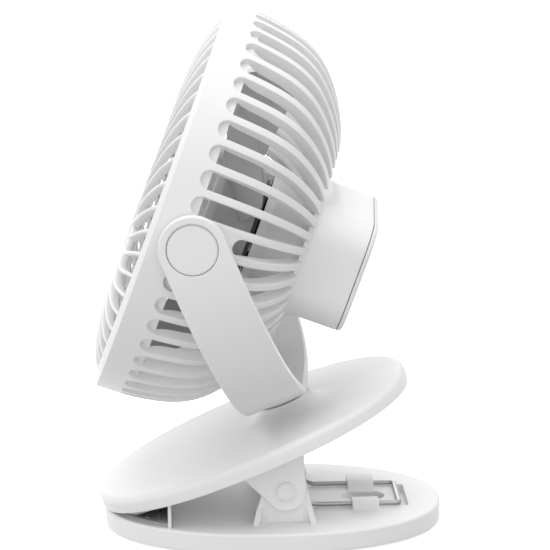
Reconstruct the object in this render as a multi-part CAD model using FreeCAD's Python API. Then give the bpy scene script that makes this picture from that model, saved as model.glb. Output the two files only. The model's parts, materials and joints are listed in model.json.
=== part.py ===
import FreeCAD, Part
import math
import os

# A rechargeable clip-on desk fan. Millimetres, +Z up.
# Origin: centre of the foot's underside. +X: the hinge side's rear, where the spring loop lies.
# The fan blows towards -X.

V = FreeCAD.Vector
ORIGIN = V(0, 0, 0)
X, Y, Z = V(1, 0, 0), V(0, 1, 0), V(0, 0, 1)

# ---- jaws -------------------------------------------------------------------------------------
JAW_HALF_LENGTH = 63.0
JAW_HALF_WIDTH = 55.5
JAW_SQUARENESS = 2.22          # superellipse exponent of both jaws' outline
FOOT_PROUD = 0.6               # how far the rubber foot stands below the lower jaw
FOOT_THICK = 1.6
FOOT_INSET = 8.0
FOOT_PLAY = 0.2
LOWER_TOP = 8.0
UPPER_THICK = 6.0
UPPER_SHORTER = 2.2            # the upper jaw's rear end stops this much earlier than the lower one's
UPPER_TILT = 21.9              # degrees, rear end up, with the tips closed
UPPER_ORIGIN = V(-5.0, 0, 31.0)  # centre of the upper jaw's underside
EDGE_ROUND_LOWER = 1.0
EDGE_ROUND_UPPER = 2.6
GRIP_END_X = -38.5             # rear end of the lower rubber pad, where its stop wall stands
GRIP_INSET = 2.2
GRIP_THICK = 1.4
GRIP_CLEAR = 0.35              # left between the lower pad and the upper jaw's parts
STOP_WALL_THICK, STOP_WALL_HEIGHT = 1.3, 7.4
UPPER_GRIP_DEEP, UPPER_GRIP_LENGTH, UPPER_GRIP_BOW = 1.9, 24.0, 52.0

# ---- hinge and clip spring --------------------------------------------------------------------
PIN_X, PIN_Z, PIN_R = 3.5, 20.3, 2.0
RUN_CLEAR = 0.05               # radial clearance of every running fit
LUG_INNER, LUG_OUTER = 36.0, 38.8
EAR_INNER, EAR_OUTER = 39.1, 41.6
EAR_ROUND = 7.2
PIN_HEAD_R, PIN_HEAD_H = 3.5, 0.9
LUG_FOOT_FRONT, LUG_FOOT_REAR = -8.7, 14.8
LUG_NECK_FRONT, LUG_NECK_REAR = -5.0, 11.6
WIRE_R = 0.85
COIL_R = 6.0
COIL_TURNS = 4
COIL_START = 20.4              # |y| where each coil starts, going outwards
COIL_PITCH = 1.85
LOOP_END_X = 47.0
LOOP_HALF_WIDTH = 15.7
LOOP_Z = LOWER_TOP + 1.05
HOOK_X, HOOK_LENGTH = 34.0, 10.0
HOOK_RECESS_R, HOOK_RECESS_DEPTH = 8.3, 2.5

# ---- neck and yoke ----------------------------------------------------------------------------
NECK_X = 14.6                  # along the upper jaw from its centre
NECK_R = 10.3
NECK_TOP = 10.4                # above the upper jaw's underside
NECK_FLARE = 4.0
SWIVEL_GAP = 0.4
SWIVEL_DISC_H = 1.3
SHAFT_R = 5.0
BUSH_WALL = 1.5
PIVOT_HEIGHT = 89.4            # pivot axis above the upper jaw's underside
SWIVEL_REST = -4.0             # degrees about the neck, as it stands
YOKE_HALF_WIDTH = 80.0
YOKE_THICK = 3.6
YOKE_SQUARENESS = 2.25
YOKE_ARM_HALF = 12.2           # half the strap's width
PIVOT_RECESS_R, PIVOT_RECESS_DEPTH = 9.3, 2.4
PIVOT_CAP_R = 8.9

# ---- head -------------------------------------------------------------------------------------
HEAD_TILT = 42.3               # degrees from the jaw's plane to the fan's axis
RIM_R = 75.5
RIM_BEHIND_PIVOT = -14.9       # x of the rim's plane; the head's origin is on the pivot axis
# The cage's outer line: radius, and depth behind the rim's plane.
CAGE_LINE = [(75.5, 0.0), (75.3, 7.0), (74.7, 15.0), (73.0, 25.0), (67.0, 37.7), (54.6, 48.5), (44.6, 54.4),
             (39.0, 57.0)]
CAGE_WALL = 2.4
SLOTS = 48
RIB_THICK = 2.9
RIB_DEPTH = 4.6
SLOT_START = 9.6
BACK_PLATE_R = 39.0
BACK_FRONT, BACK_REAR = 55.0, 58.0
HOUSING_HALF_Y, HOUSING_HALF_Z, HOUSING_CORNER = 38.0, 21.0, 12.0
HOUSING_REAR = 75.1
HOUSING_WALL = 2.0
CAP_GAP = 0.25
CAP_REAR = 77.2
CAP_THICK = 1.8
SEAT_R, SEAT_WALL, SEAT_FRONT = 20.3, 2.0, 36.2
SEAT_REAR_R = 36.0             # the motor seat widens to this at the back plate
SEAT_FLOOR_FRONT, SEAT_FLOOR_REAR = 38.4, 40.6
PAD_R = 15.0                   # unslotted pad round each pivot
PIVOT_BOSS_R, PIVOT_BOSS_INNER = 6.0, 64.0
PIVOT_SHOULDER_R, PIVOT_THREAD_R = 2.5, 1.25
PIVOT_WASHER_THICK = 0.7

# ---- battery, board and controls ----------------------------------------------------------------
CELL_R, CELL_HALF = 8.2, 32.5  # a standard 16650 cell
CELL_DEPTH, CELL_Z = 66.6, 6.5
CONTACT_HALF, CONTACT_THICK = 4.0, 0.5
BOARD_Z, BOARD_DEPTH, BOARD_THICK = -11.0, 66.1, 1.2
BOARD_HALF_Y, BOARD_HALF_Z = 27.0, 7.0
POST_Y = BOARD_HALF_Y - 3.5
BUTTON_R, BUTTON_Z, BUTTON_TRAVEL = 5.5, -9.8, 0.8
SWITCH_HEIGHT = 2.4
PORT_Y, LENS_Y = 16.0, -19.0
PORT_HALF_Y, PORT_HALF_Z = 4.4, 1.6

# ---- grille -----------------------------------------------------------------------------------
# The grille's front line: radius, and how far it stands in front of the rim.
DISH = [(70.6, 0.0), (67.0, 3.4), (60.0, 5.9), (50.0, 7.6), (41.0, 8.0), (32.0, 7.5), (21.0, 6.6),
        (11.0, 5.9), (0.0, 5.6)]
GRILLE_R = 72.3
GRILLE_FACE_R = 70.6
GRILLE_SKIRT = 8.6
GRILLE_RIB, GRILLE_DEEP = 1.6, 3.0
GRILLE_RING_R, GRILLE_RING_W = 25.0, 2.4
GRILLE_HUB_R = 11.0
GRILLE_CAP_R = 7.6
GRILLE_SWIRL = 26.0            # degrees a rib turns from the rim to the ring
GRILLE_INNER_RIBS, GRILLE_INNER_SWIRL = 15, 10.0
GRILLE_CAP_FRONT, GRILLE_CAP_BACK = -7.2, -4.6

# ---- impeller and motor -----------------------------------------------------------------------
BLADES = 5
BLADE_REST = 54.0              # degrees from the top towards -Y at which one blade stands
# One blade's cuts: radius, half chord, depth of the front and of the rear edge, thickness.
BLADE_SECTIONS = [(17.5, 8.5, 17.5, 29.0, 2.0), (38.0, 13.8, 14.6, 32.2, 1.7), (63.0, 19.4, 14.0, 33.8, 1.4)]
BLADE_SPACE = (13.5, 36.5)     # depths that the blades stay between
TIP_R = 59.0
HUB_R, HUB_FRONT, HUB_REAR, HUB_WALL = 20.0, 16.4, 34.0, 2.2
ROTOR_R, ROTOR_REAR, ROTOR_WALL = 18.0, 35.5, 1.0
MAGNET_WALL, MAGNET_FRONT, MAGNET_REAR = 2.0, 23.5, 33.8
STATOR_FRONT, STATOR_REAR, STATOR_R = 24.8, 32.8, 14.5
SHAFT_MOTOR_R, SHAFT_REAR = 1.5, 39.6
BASE_DISC_R, BASE_POST_R, BASE_BORE_R = 18.3, 4.6, 3.5
BEARING_FRONTS, BEARING_LENGTH = (24.0, 36.4), 2.5
MOTOR_SCREW_CIRCLE, MOTOR_SCREW_R = 12.0, 0.8


def head_x(depth):
    """x in the head's own frame of a depth behind the rim's plane."""
    return depth + RIM_BEHIND_PIVOT


def upper_place():
    return FreeCAD.Placement(UPPER_ORIGIN, FreeCAD.Rotation(Y, -UPPER_TILT))


def yoke_place():
    at_pivot = FreeCAD.Placement(V(NECK_X, 0, PIVOT_HEIGHT), FreeCAD.Rotation(Z, SWIVEL_REST))
    return upper_place().multiply(at_pivot)


def head_place():
    tilt = FreeCAD.Placement(ORIGIN, FreeCAD.Rotation(Y, HEAD_TILT))
    return yoke_place().multiply(tilt)


def placed(shape, placement):
    copy = shape.copy()
    copy.Placement = placement.multiply(copy.Placement)
    return copy


def save(name, shape):
    shape.exportStep("parts/" + name + ".step")
    good = shape.isValid() and shape.Volume > 0
    print(name, "solids", len(shape.Solids), "volume", round(shape.Volume, 1), "" if good else "BAD")


def fused(shapes):
    first, rest = shapes[0], shapes[1:]
    return first.fuse(rest).removeSplitter() if rest else first


def cylinder(radius, start, end, axis=X):
    """A cylinder along an axis through the origin, from start to end."""
    return Part.makeCylinder(radius, end - start, axis * start, axis)


def tube(outer, inner, start, end, axis=X):
    return cylinder(outer, start, end, axis).cut(cylinder(inner, start - 1, end + 1, axis))


def moved(shape, x=0, y=0, z=0):
    copy = shape.copy()
    copy.translate(V(x, y, z))
    return copy


def turned(shape, degrees, axis=X, centre=ORIGIN):
    copy = shape.copy()
    copy.rotate(centre, axis, degrees)
    return copy


def box(x0, x1, y0, y1, z0, z1):
    return Part.makeBox(x1 - x0, y1 - y0, z1 - z0, V(x0, y0, z0))


def both_sides(shape):
    """The shape and its mirror image across the XZ plane."""
    return [shape, shape.mirror(ORIGIN, Y)]


def superellipse_points(a, b, n, count=48):
    points = []
    for i in range(count):
        t = 2 * math.pi * i / count
        c, s = math.cos(t), math.sin(t)
        x = a * math.copysign(abs(c) ** (2 / n), c)
        y = b * math.copysign(abs(s) ** (2 / n), s)
        points.append((x, y))
    return points


def closed_face(points):
    curve = Part.BSplineCurve()
    curve.interpolate(Points=points, PeriodicFlag=True)
    return Part.Face(Part.Wire([curve.toShape()]))


def jaw_plate(inset, z0, z1):
    outline = superellipse_points(JAW_HALF_LENGTH - inset, JAW_HALF_WIDTH - inset, JAW_SQUARENESS)
    return closed_face([V(x, y, z0) for x, y in outline]).extrude(V(0, 0, z1 - z0))


def upper_plate(inset, z0, z1):
    """The upper jaw's plate in its own frame: the same front end, a shorter rear."""
    plate = FreeCAD.Matrix()
    plate.scale(1 - UPPER_SHORTER / 2 / JAW_HALF_LENGTH, 1, 1)
    return moved(jaw_plate(inset, z0, z1).transformGeometry(plate), x=-UPPER_SHORTER / 2)


def edges_at(shape, height):
    """Edges lying wholly at one height."""
    return [e for e in shape.Edges
            if abs(e.BoundBox.ZMin - height) < 1e-4 and abs(e.BoundBox.ZMax - height) < 1e-4]


# ---- lower jaw --------------------------------------------------------------------------------

def side_lug():
    """One hinge lug on the -Y side: a trapezoid bracket with a round top and two outer ribs."""
    sides = [V(LUG_FOOT_FRONT, 0, LOWER_TOP - 1), V(LUG_FOOT_REAR, 0, LOWER_TOP - 1),
             V(LUG_NECK_REAR, 0, PIN_Z), V(LUG_NECK_FRONT, 0, PIN_Z)]
    plate = Part.Face(Part.makePolygon(sides + sides[:1])).extrude(V(0, LUG_OUTER - LUG_INNER, 0))
    top_r = (LUG_NECK_REAR - LUG_NECK_FRONT) / 2
    top_centre = V((LUG_NECK_REAR + LUG_NECK_FRONT) / 2, 0, PIN_Z)
    top = Part.makeCylinder(top_r, LUG_OUTER - LUG_INNER, top_centre, Y)
    lug = moved(plate.fuse(top), y=-LUG_OUTER)
    rib_reach = 3.2
    ribs = []
    for x in (LUG_FOOT_FRONT, LUG_FOOT_REAR - 2.0):
        rib = [V(x, -LUG_OUTER, LOWER_TOP - 1), V(x, -LUG_OUTER - rib_reach, LOWER_TOP - 1),
               V(x, -LUG_OUTER, LOWER_TOP + 4.0)]
        ribs.append(Part.Face(Part.makePolygon(rib + rib[:1])).extrude(V(2.0, 0, 0)))
    return fused([lug] + ribs)


def spring_hook():
    """One hook on the -Y side: a low wall outside the wire and a lip over it."""
    x0, x1 = HOOK_X - HOOK_LENGTH / 2, HOOK_X + HOOK_LENGTH / 2
    wall_in = -LOOP_HALF_WIDTH - WIRE_R - 0.15
    lip_z = LOOP_Z + WIRE_R + 0.15
    wall = box(x0, x1, wall_in - 3.0, wall_in, LOWER_TOP - 1, lip_z + 1.0)
    lip = box(x0, x1, wall_in - 3.0, -LOOP_HALF_WIDTH + 1.6, lip_z, lip_z + 1.0)
    return wall.fuse(lip).removeSplitter()


def lower_jaw():
    plate = jaw_plate(0, FOOT_PROUD, LOWER_TOP)
    plate = plate.makeFillet(EDGE_ROUND_LOWER, edges_at(plate, LOWER_TOP))
    plate = plate.cut(jaw_plate(FOOT_INSET, 0, FOOT_THICK))
    body = fused([plate] + both_sides(side_lug()) + both_sides(spring_hook()))
    hole = cylinder(PIN_R, -LUG_OUTER - 5, LUG_OUTER + 5, Y)
    body = body.cut(moved(hole, x=PIN_X, z=PIN_Z))
    recess = cylinder(HOOK_RECESS_R, LOWER_TOP - HOOK_RECESS_DEPTH, LOWER_TOP + 1, Z)
    body = body.cut(moved(recess, x=HOOK_X))
    pocket = box(LOOP_END_X + 1.2, LOOP_END_X + 3.4, -LOOP_HALF_WIDTH, LOOP_HALF_WIDTH, -1.2, 1)
    return body.cut(moved(pocket, z=LOWER_TOP))


def foot_pad():
    return jaw_plate(FOOT_INSET + FOOT_PLAY, 0, FOOT_THICK)


def lower_grip_pad():
    """A thin rubber pad on the front of the lower jaw, with an upright stop wall at its rear end."""
    front = box(-80, GRIP_END_X, -80, 80, LOWER_TOP - 1, LOWER_TOP + 40)
    pad = jaw_plate(GRIP_INSET, LOWER_TOP, LOWER_TOP + GRIP_THICK).common(front)
    wall = jaw_plate(GRIP_INSET, LOWER_TOP, LOWER_TOP + STOP_WALL_HEIGHT)
    wall = wall.common(box(GRIP_END_X - STOP_WALL_THICK, GRIP_END_X, -80, 80, 0, 40))
    clear = placed(box(-90, 90, -80, 80, -GRIP_CLEAR, 60), upper_place())
    clear_pad = placed(upper_grip_blank(GRIP_CLEAR), upper_place())
    return fused([pad, wall]).cut(clear).cut(clear_pad)


def upper_grip_blank(grow):
    """The upper pad's space in the upper jaw's own frame, grown downwards and to the rear."""
    reach = -JAW_HALF_LENGTH + UPPER_GRIP_LENGTH
    slab = upper_plate(GRIP_INSET - grow, -UPPER_GRIP_DEEP - grow, 0)
    bow_centre = V(-JAW_HALF_LENGTH + 8, -80, UPPER_GRIP_BOW - UPPER_GRIP_DEEP + 0.1)
    wedge = Part.makeCylinder(UPPER_GRIP_BOW + grow, 160, bow_centre, Y)
    return slab.common(box(-80, reach + grow, -80, 80, -5, 5)).common(wedge)


def upper_grip_pad():
    """The upper rubber pad, bowed along the jaw; trimmed flat where it meets the lower pad."""
    pad = placed(upper_grip_blank(0), upper_place())
    return pad.cut(box(-90, 90, -90, 90, -20, LOWER_TOP + GRIP_THICK + GRIP_CLEAR))


def hinge_pin():
    rod = moved(cylinder(PIN_R, -EAR_OUTER, EAR_OUTER, Y), x=PIN_X, z=PIN_Z)
    head = moved(cylinder(PIN_HEAD_R, -EAR_OUTER - 0.1 - PIN_HEAD_H, -EAR_OUTER - 0.1, Y), x=PIN_X, z=PIN_Z)
    link = moved(cylinder(PIN_R, -EAR_OUTER - 0.5, -EAR_OUTER, Y), x=PIN_X, z=PIN_Z)
    tail = moved(cylinder(PIN_R - 0.4, EAR_OUTER, EAR_OUTER + 1.0, Y), x=PIN_X, z=PIN_Z)
    return fused([rod, link, head, tail])


def pin_retainer():
    cap = cylinder(PIN_HEAD_R, EAR_OUTER + 0.1, EAR_OUTER + 0.1 + PIN_HEAD_H, Y)
    cap = cap.cut(cylinder(PIN_R - 0.4, 0, 60, Y))
    return moved(cap, x=PIN_X, z=PIN_Z)


def wire_run(points):
    """Round wire along straight runs, with a ball at each bend."""
    pieces = []
    for a, b in zip(points, points[1:]):
        pieces.append(Part.makeCylinder(WIRE_R, (b - a).Length, a, b - a))
    for p in points[1:-1]:
        pieces.append(Part.makeSphere(WIRE_R, p))
    return pieces


def coil():
    """One coil on the -Y side, as closed turns side by side."""
    turns = []
    for i in range(COIL_TURNS):
        turns.append(Part.makeTorus(COIL_R, WIRE_R + 0.09, V(PIN_X, -COIL_START - i * COIL_PITCH, PIN_Z), Y))
    return turns


def clip_spring():
    """A double torsion spring: one coil inside each lug, a loop on the lower jaw, two upper arms."""
    side = []
    far_end = COIL_START + (COIL_TURNS - 1) * COIL_PITCH
    arm_up = upper_place().multVec(V(33.0, 0, -1.3))
    start_angle = math.radians(250)
    rise = V(PIN_X + COIL_R * math.sin(start_angle), -far_end, PIN_Z - COIL_R * math.cos(start_angle))
    side += coil()
    side += wire_run([V(PIN_X, -COIL_START, PIN_Z - COIL_R), V(PIN_X + 9.0, -LOOP_HALF_WIDTH, LOOP_Z + 1.3),
                      V(HOOK_X - 8.0, -LOOP_HALF_WIDTH, LOOP_Z), V(LOOP_END_X, -LOOP_HALF_WIDTH, LOOP_Z),
                      V(LOOP_END_X, 0, LOOP_Z)])
    side += wire_run([rise, V(arm_up.x, -far_end, arm_up.z)])
    half = fused(side)
    return half.fuse(half.mirror(ORIGIN, Y)).removeSplitter()


# ---- upper jaw --------------------------------------------------------------------------------

def pin_in_upper():
    return upper_place().inverse().multVec(V(PIN_X, 0, PIN_Z))


def ear():
    """One hinge ear on the -Y side, in the upper jaw's frame."""
    pin = pin_in_upper()
    wide_front, wide_rear = -10.0, 16.3
    reach = V(pin.x, 0, pin.z)
    rear_low = upper_place().inverse().multVec(V(PIN_X + EAR_ROUND, 0, PIN_Z))
    front_low = reach + V(-EAR_ROUND * math.cos(math.radians(35)), 0, -EAR_ROUND * math.sin(math.radians(35)))
    outline = [V(wide_front, 0, 1), V(wide_rear, 0, 1), V(wide_rear, 0, 0), V(rear_low.x, 0, rear_low.z),
               reach, front_low, V(wide_front, 0, 0)]
    plate = Part.Face(Part.makePolygon(outline + outline[:1])).extrude(V(0, EAR_OUTER - EAR_INNER, 0))
    round_end = Part.makeCylinder(EAR_ROUND, EAR_OUTER - EAR_INNER, reach, Y)
    both = plate.fuse(round_end).cut(Part.makeCylinder(PIN_R + RUN_CLEAR, 10, reach - V(0, 5, 0), Y))
    return moved(both.removeSplitter(), y=-EAR_OUTER)


def neck_blank():
    """The neck with its concave flare, revolved about the swivel axis."""
    base = UPPER_THICK - 0.3
    profile = [V(0, 0, 2), V(NECK_R + NECK_FLARE, 0, 2), V(NECK_R + NECK_FLARE, 0, base)]
    mid = V(NECK_R + NECK_FLARE * 0.293, 0, base + NECK_FLARE * 0.293)
    arc = Part.Arc(profile[2], mid, V(NECK_R, 0, base + NECK_FLARE)).toShape()
    rest = Part.makePolygon([V(NECK_R, 0, base + NECK_FLARE), V(NECK_R, 0, NECK_TOP), V(0, 0, NECK_TOP),
                             profile[0]])
    wire = Part.Wire(Part.makePolygon(profile).Edges + [arc] + rest.Edges)
    return moved(Part.Face(wire).revolve(ORIGIN, Z, 360), x=NECK_X)


def upper_jaw():
    plate = upper_plate(0, 0, UPPER_THICK)
    plate = plate.makeFillet(EDGE_ROUND_UPPER, edges_at(plate, UPPER_THICK))
    body = fused([plate, neck_blank()] + both_sides(ear()))
    bore = cylinder(SHAFT_R + RUN_CLEAR + BUSH_WALL, -1, NECK_TOP + 1, Z)
    counterbore = cylinder(9.0, -1, 3.6, Z)
    body = body.cut(moved(bore, x=NECK_X)).cut(moved(counterbore, x=NECK_X))
    return placed(body, upper_place())


def swivel_bush():
    bush = tube(SHAFT_R + RUN_CLEAR + BUSH_WALL, SHAFT_R + RUN_CLEAR, 3.6, NECK_TOP, Z)
    return placed(moved(bush, x=NECK_X), upper_place())


# ---- yoke, in the frame of its pivot centre ----------------------------------------------------

def yoke_depth():
    return PIVOT_HEIGHT - NECK_TOP - SWIVEL_GAP - SWIVEL_DISC_H


def yoke_curve(inset):
    """Half a superellipse from the +Y pivot height, under the head, to the -Y pivot height."""
    a, b, n = YOKE_HALF_WIDTH - inset, yoke_depth() - inset, YOKE_SQUARENESS
    points = []
    steps = 28
    for i in range(steps + 1):
        t = math.pi * i / steps
        c, s = math.cos(t), math.sin(t)
        points.append(V(0, a * math.copysign(abs(c) ** (2 / n), c), -b * abs(s) ** (2 / n)))
    points[0], points[-1] = V(0, a, 0), V(0, -a, 0)
    curve = Part.BSplineCurve()
    curve.interpolate(Points=points, InitialTangent=V(0, 0, -1), FinalTangent=V(0, 0, 1))
    return curve.toShape(), points[0], points[-1]


def yoke():
    outer, outer_a, outer_b = yoke_curve(0)
    inner, inner_a, inner_b = yoke_curve(YOKE_THICK)
    sides = [Part.makeLine(outer_b, inner_b), Part.makeLine(inner_a, outer_a)]
    outline = Part.Wire(Part.__sortEdges__([outer, inner] + sides))
    strap = Part.Face(outline).extrude(V(2 * YOKE_ARM_HALF, 0, 0))
    body = [moved(strap, x=-YOKE_ARM_HALF)]
    for side in (1, -1):
        start, end = sorted((side * (YOKE_HALF_WIDTH - YOKE_THICK), side * YOKE_HALF_WIDTH))
        body.append(cylinder(YOKE_ARM_HALF, start, end, Y))
    disc_top = -yoke_depth() + YOKE_THICK
    body.append(cylinder(NECK_R, -yoke_depth() - SWIVEL_DISC_H, disc_top, Z))
    shaft_end = -PIVOT_HEIGHT + 3.35
    body.append(cylinder(SHAFT_R, shaft_end, disc_top, Z))
    shape = fused(body)
    shape = shape.cut(cylinder(PIVOT_SHOULDER_R + RUN_CLEAR, -100, 100, Y))
    for side in (1, -1):
        start, end = sorted((side * (YOKE_HALF_WIDTH - PIVOT_RECESS_DEPTH), side * (YOKE_HALF_WIDTH + 5)))
        shape = shape.cut(cylinder(PIVOT_RECESS_R, start, end, Y))
    shape = shape.cut(cylinder(1.5, -100, -yoke_depth() + 1.0, Z))
    return placed(shape, yoke_place())


def pivot_cap(side):
    """A cover that sits in an arm's recess, with a skirt down to the web."""
    web = YOKE_HALF_WIDTH - PIVOT_RECESS_DEPTH
    hollow = cylinder(7.6, web - 1, YOKE_HALF_WIDTH - 1.3, Y)
    cap = cylinder(PIVOT_CAP_R, web, YOKE_HALF_WIDTH - 0.3, Y).cut(hollow)
    ring = cylinder(PIVOT_RECESS_R, web, web + 0.6, Y).cut(cylinder(7.6, web - 1, web + 1, Y))
    cap = cap.fuse(ring).removeSplitter()
    if side < 0:
        cap = cap.mirror(ORIGIN, Y)
    return placed(cap, yoke_place())


def swivel_washer():
    top = -PIVOT_HEIGHT + 3.35
    return placed(tube(8.0, 1.5, top - 1.0, top, Z), yoke_place())


def swivel_screw():
    top = -PIVOT_HEIGHT + 3.35
    head = cylinder(3.0, top - 2.8, top - 1.0, Z)
    shank = cylinder(1.5, top - 1.2, -yoke_depth() - 1.0, Z)
    slot = box(-0.4, 0.4, -4, 4, top - 3.0, top - 2.1)
    return placed(head.fuse(shank).removeSplitter().cut(slot), yoke_place())


# ---- head, in the frame of its pivot centre, x to the rear --------------------------------------

def moved_in(line, inset):
    """A line of (radius, depth) points moved inwards, square to itself."""
    points = []
    for i, (r, d) in enumerate(line):
        before, after = line[max(i - 1, 0)], line[min(i + 1, len(line) - 1)]
        along = (after[0] - before[0], after[1] - before[1])
        size = math.hypot(*along)
        points.append((r - along[1] / size * inset, d + along[0] / size * inset))
    return points


def ring_between(line, other):
    """The solid of revolution about the fan's axis between two lines of (radius, depth) points."""
    corners = [V(head_x(d), 0, r) for r, d in line + other[::-1]]
    return Part.Face(Part.makePolygon(corners + corners[:1])).revolve(ORIGIN, X, 360)


def shell_zone(thickness):
    return ring_between(CAGE_LINE, moved_in(CAGE_LINE, thickness))


def beyond(depth, side):
    """Half space, as a big box, in front of (side -1) or behind (side 1) a depth."""
    x = head_x(depth)
    return box(x, x + 200, -120, 120, -120, 120) if side > 0 else box(x - 200, x, -120, 120, -120, 120)


def rounded_block(half_y, half_z, corner, depth0, depth1):
    """A block along the fan's axis with rounded long edges."""
    block = box(head_x(depth0), head_x(depth1), -half_y, half_y, -half_z, half_z)
    long_edges = [e for e in block.Edges if e.BoundBox.XLength > 0.5 * (depth1 - depth0)]
    return block.makeFillet(corner, long_edges)


def cage_ribs():
    zone = shell_zone(RIB_DEPTH)
    slab = box(head_x(SLOT_START - 0.5), head_x(60), -RIB_THICK / 2, RIB_THICK / 2, BACK_PLATE_R - 3, 90)
    step = 360 / SLOTS
    slabs = [turned(slab, i * step) for i in range(SLOTS)]
    return zone.common(Part.makeCompound(slabs)).Solids


def pivot_pads():
    """The unslotted pad round each pivot."""
    zone = shell_zone(CAGE_WALL)
    reach = cylinder(PAD_R, RIM_R - 20, RIM_R + 15, Y)
    return [zone.common(side) for side in both_sides(reach)]


def pivot_bosses():
    return both_sides(cylinder(PIVOT_BOSS_R, PIVOT_BOSS_INNER, pivot_boss_face(), Y))


def pivot_boss_face():
    """|y| of the face that a pivot's washer lies on."""
    return YOKE_HALF_WIDTH - YOKE_THICK - 1.0


def motor_seat():
    """The funnel from the motor to the back plate, with the floor that the motor is screwed to."""
    outer = [(SEAT_R, SEAT_FRONT), (SEAT_REAR_R, BACK_FRONT + 0.5)]
    funnel = ring_between(outer, [(r - SEAT_WALL, d) for r, d in outer])
    floor = tube(SEAT_R + 1.2, BASE_POST_R + 0.4, head_x(SEAT_FLOOR_FRONT), head_x(SEAT_FLOOR_REAR))
    return funnel.fuse(floor)


def rear_cage():
    """Rim, ribs, back plate, pivot pads and motor seat, moulded in one."""
    rim = shell_zone(CAGE_WALL).common(beyond(SLOT_START, -1))
    back = tube(BACK_PLATE_R, 5.0, head_x(BACK_FRONT), head_x(BACK_REAR))
    body = fused([rim, back, motor_seat()] + cage_ribs() + pivot_pads() + pivot_bosses())
    thread = cylinder(PIVOT_THREAD_R, PIVOT_BOSS_INNER - 5, RIM_R + 10, Y)
    screw_holes = motor_screw_holes(MOTOR_SCREW_R, SEAT_FLOOR_FRONT - 1, SEAT_FLOOR_REAR + 1)
    for hole in both_sides(thread) + screw_holes:
        body = body.cut(hole)
    return placed(body, head_place())


def rear_housing():
    """The battery and board's shell behind the back plate, open to the rear, with two board posts."""
    shell = rounded_block(HOUSING_HALF_Y, HOUSING_HALF_Z, HOUSING_CORNER, BACK_REAR, HOUSING_REAR)
    inside = rounded_block(HOUSING_HALF_Y - HOUSING_WALL, HOUSING_HALF_Z - HOUSING_WALL,
                           HOUSING_CORNER - HOUSING_WALL, BACK_REAR - 1, HOUSING_REAR + 1)
    return placed(fused([shell.cut(inside)] + board_posts()), head_place())


def motor_screw_holes(radius, depth0, depth1):
    hole = moved(cylinder(radius, head_x(depth0), head_x(depth1)), z=MOTOR_SCREW_CIRCLE)
    return [turned(hole, 120 * i) for i in range(3)]


def board_posts():
    """Two screw posts for the circuit board, each with a web to the housing's lower wall."""
    posts = []
    for y in (-POST_Y, POST_Y):
        post = tube(2.6, 0.7, head_x(BACK_REAR), head_x(BOARD_DEPTH))
        web = box(head_x(BACK_REAR), head_x(BOARD_DEPTH), -0.8, 0.8, -HOUSING_HALF_Z - BOARD_Z + 1.2, -2.0)
        posts.append(moved(post.fuse(web).removeSplitter(), y=y, z=BOARD_Z))
    return posts


def rear_cap():
    """The housing's lid: rounded outer edge, a locating lip, and holes for button, port and lamp."""
    front = HOUSING_REAR + CAP_GAP
    lid = rounded_block(HOUSING_HALF_Y, HOUSING_HALF_Z, HOUSING_CORNER, front, CAP_REAR)
    lid = lid.makeFillet(1.2, [e for e in lid.Edges if e.BoundBox.XMin > head_x(CAP_REAR) - 1e-3])
    wall, play = HOUSING_WALL + 0.15, 1.2
    lip = rounded_block(HOUSING_HALF_Y - wall, HOUSING_HALF_Z - wall, HOUSING_CORNER - wall,
                        front - 1.8, front + 0.5)
    lip = lip.cut(rounded_block(HOUSING_HALF_Y - wall - play, HOUSING_HALF_Z - wall - play,
                                HOUSING_CORNER - wall - play, front - 3, front + 0.8))
    cap = lid.fuse(lip).removeSplitter()
    hollow = rounded_block(HOUSING_HALF_Y - 4, HOUSING_HALF_Z - 4, HOUSING_CORNER - 4, front - 1,
                           CAP_REAR - CAP_THICK)
    holes = [moved(cylinder(BUTTON_R + 0.3, head_x(70), head_x(90)), z=BUTTON_Z),
             box(head_x(70), head_x(90), PORT_Y - PORT_HALF_Y - 0.2, PORT_Y + PORT_HALF_Y + 0.2,
                 BOARD_Z - PORT_HALF_Z - 0.2, BOARD_Z + PORT_HALF_Z + 0.2),
             moved(cylinder(1.2, head_x(70), head_x(90)), y=LENS_Y, z=BOARD_Z)]
    for hole in [hollow] + holes:
        cap = cap.cut(hole)
    return placed(cap, head_place())


def control_board():
    board = box(head_x(BOARD_DEPTH), head_x(BOARD_DEPTH + BOARD_THICK), -BOARD_HALF_Y, BOARD_HALF_Y,
                BOARD_Z - BOARD_HALF_Z, BOARD_Z + BOARD_HALF_Z)
    chip = box(head_x(BOARD_DEPTH + BOARD_THICK), head_x(BOARD_DEPTH + BOARD_THICK + 1.4), -12.5, -7.5,
               BOARD_Z - 2.5, BOARD_Z + 2.5)
    board = board.fuse(chip).removeSplitter()
    for y in (-POST_Y, POST_Y):
        board = board.cut(moved(cylinder(1.1, head_x(60), head_x(80)), y=y, z=BOARD_Z))
    return placed(board, head_place())


def board_screws():
    screws = []
    for y in (-POST_Y, POST_Y):
        top = BOARD_DEPTH + BOARD_THICK
        head = cylinder(1.9, head_x(top), head_x(top + 1.2))
        shank = cylinder(0.7, head_x(BOARD_DEPTH - 7), head_x(top + 0.2))
        screws.append(moved(head.fuse(shank).removeSplitter(), y=y, z=BOARD_Z))
    return placed(Part.makeCompound(screws), head_place())


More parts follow.
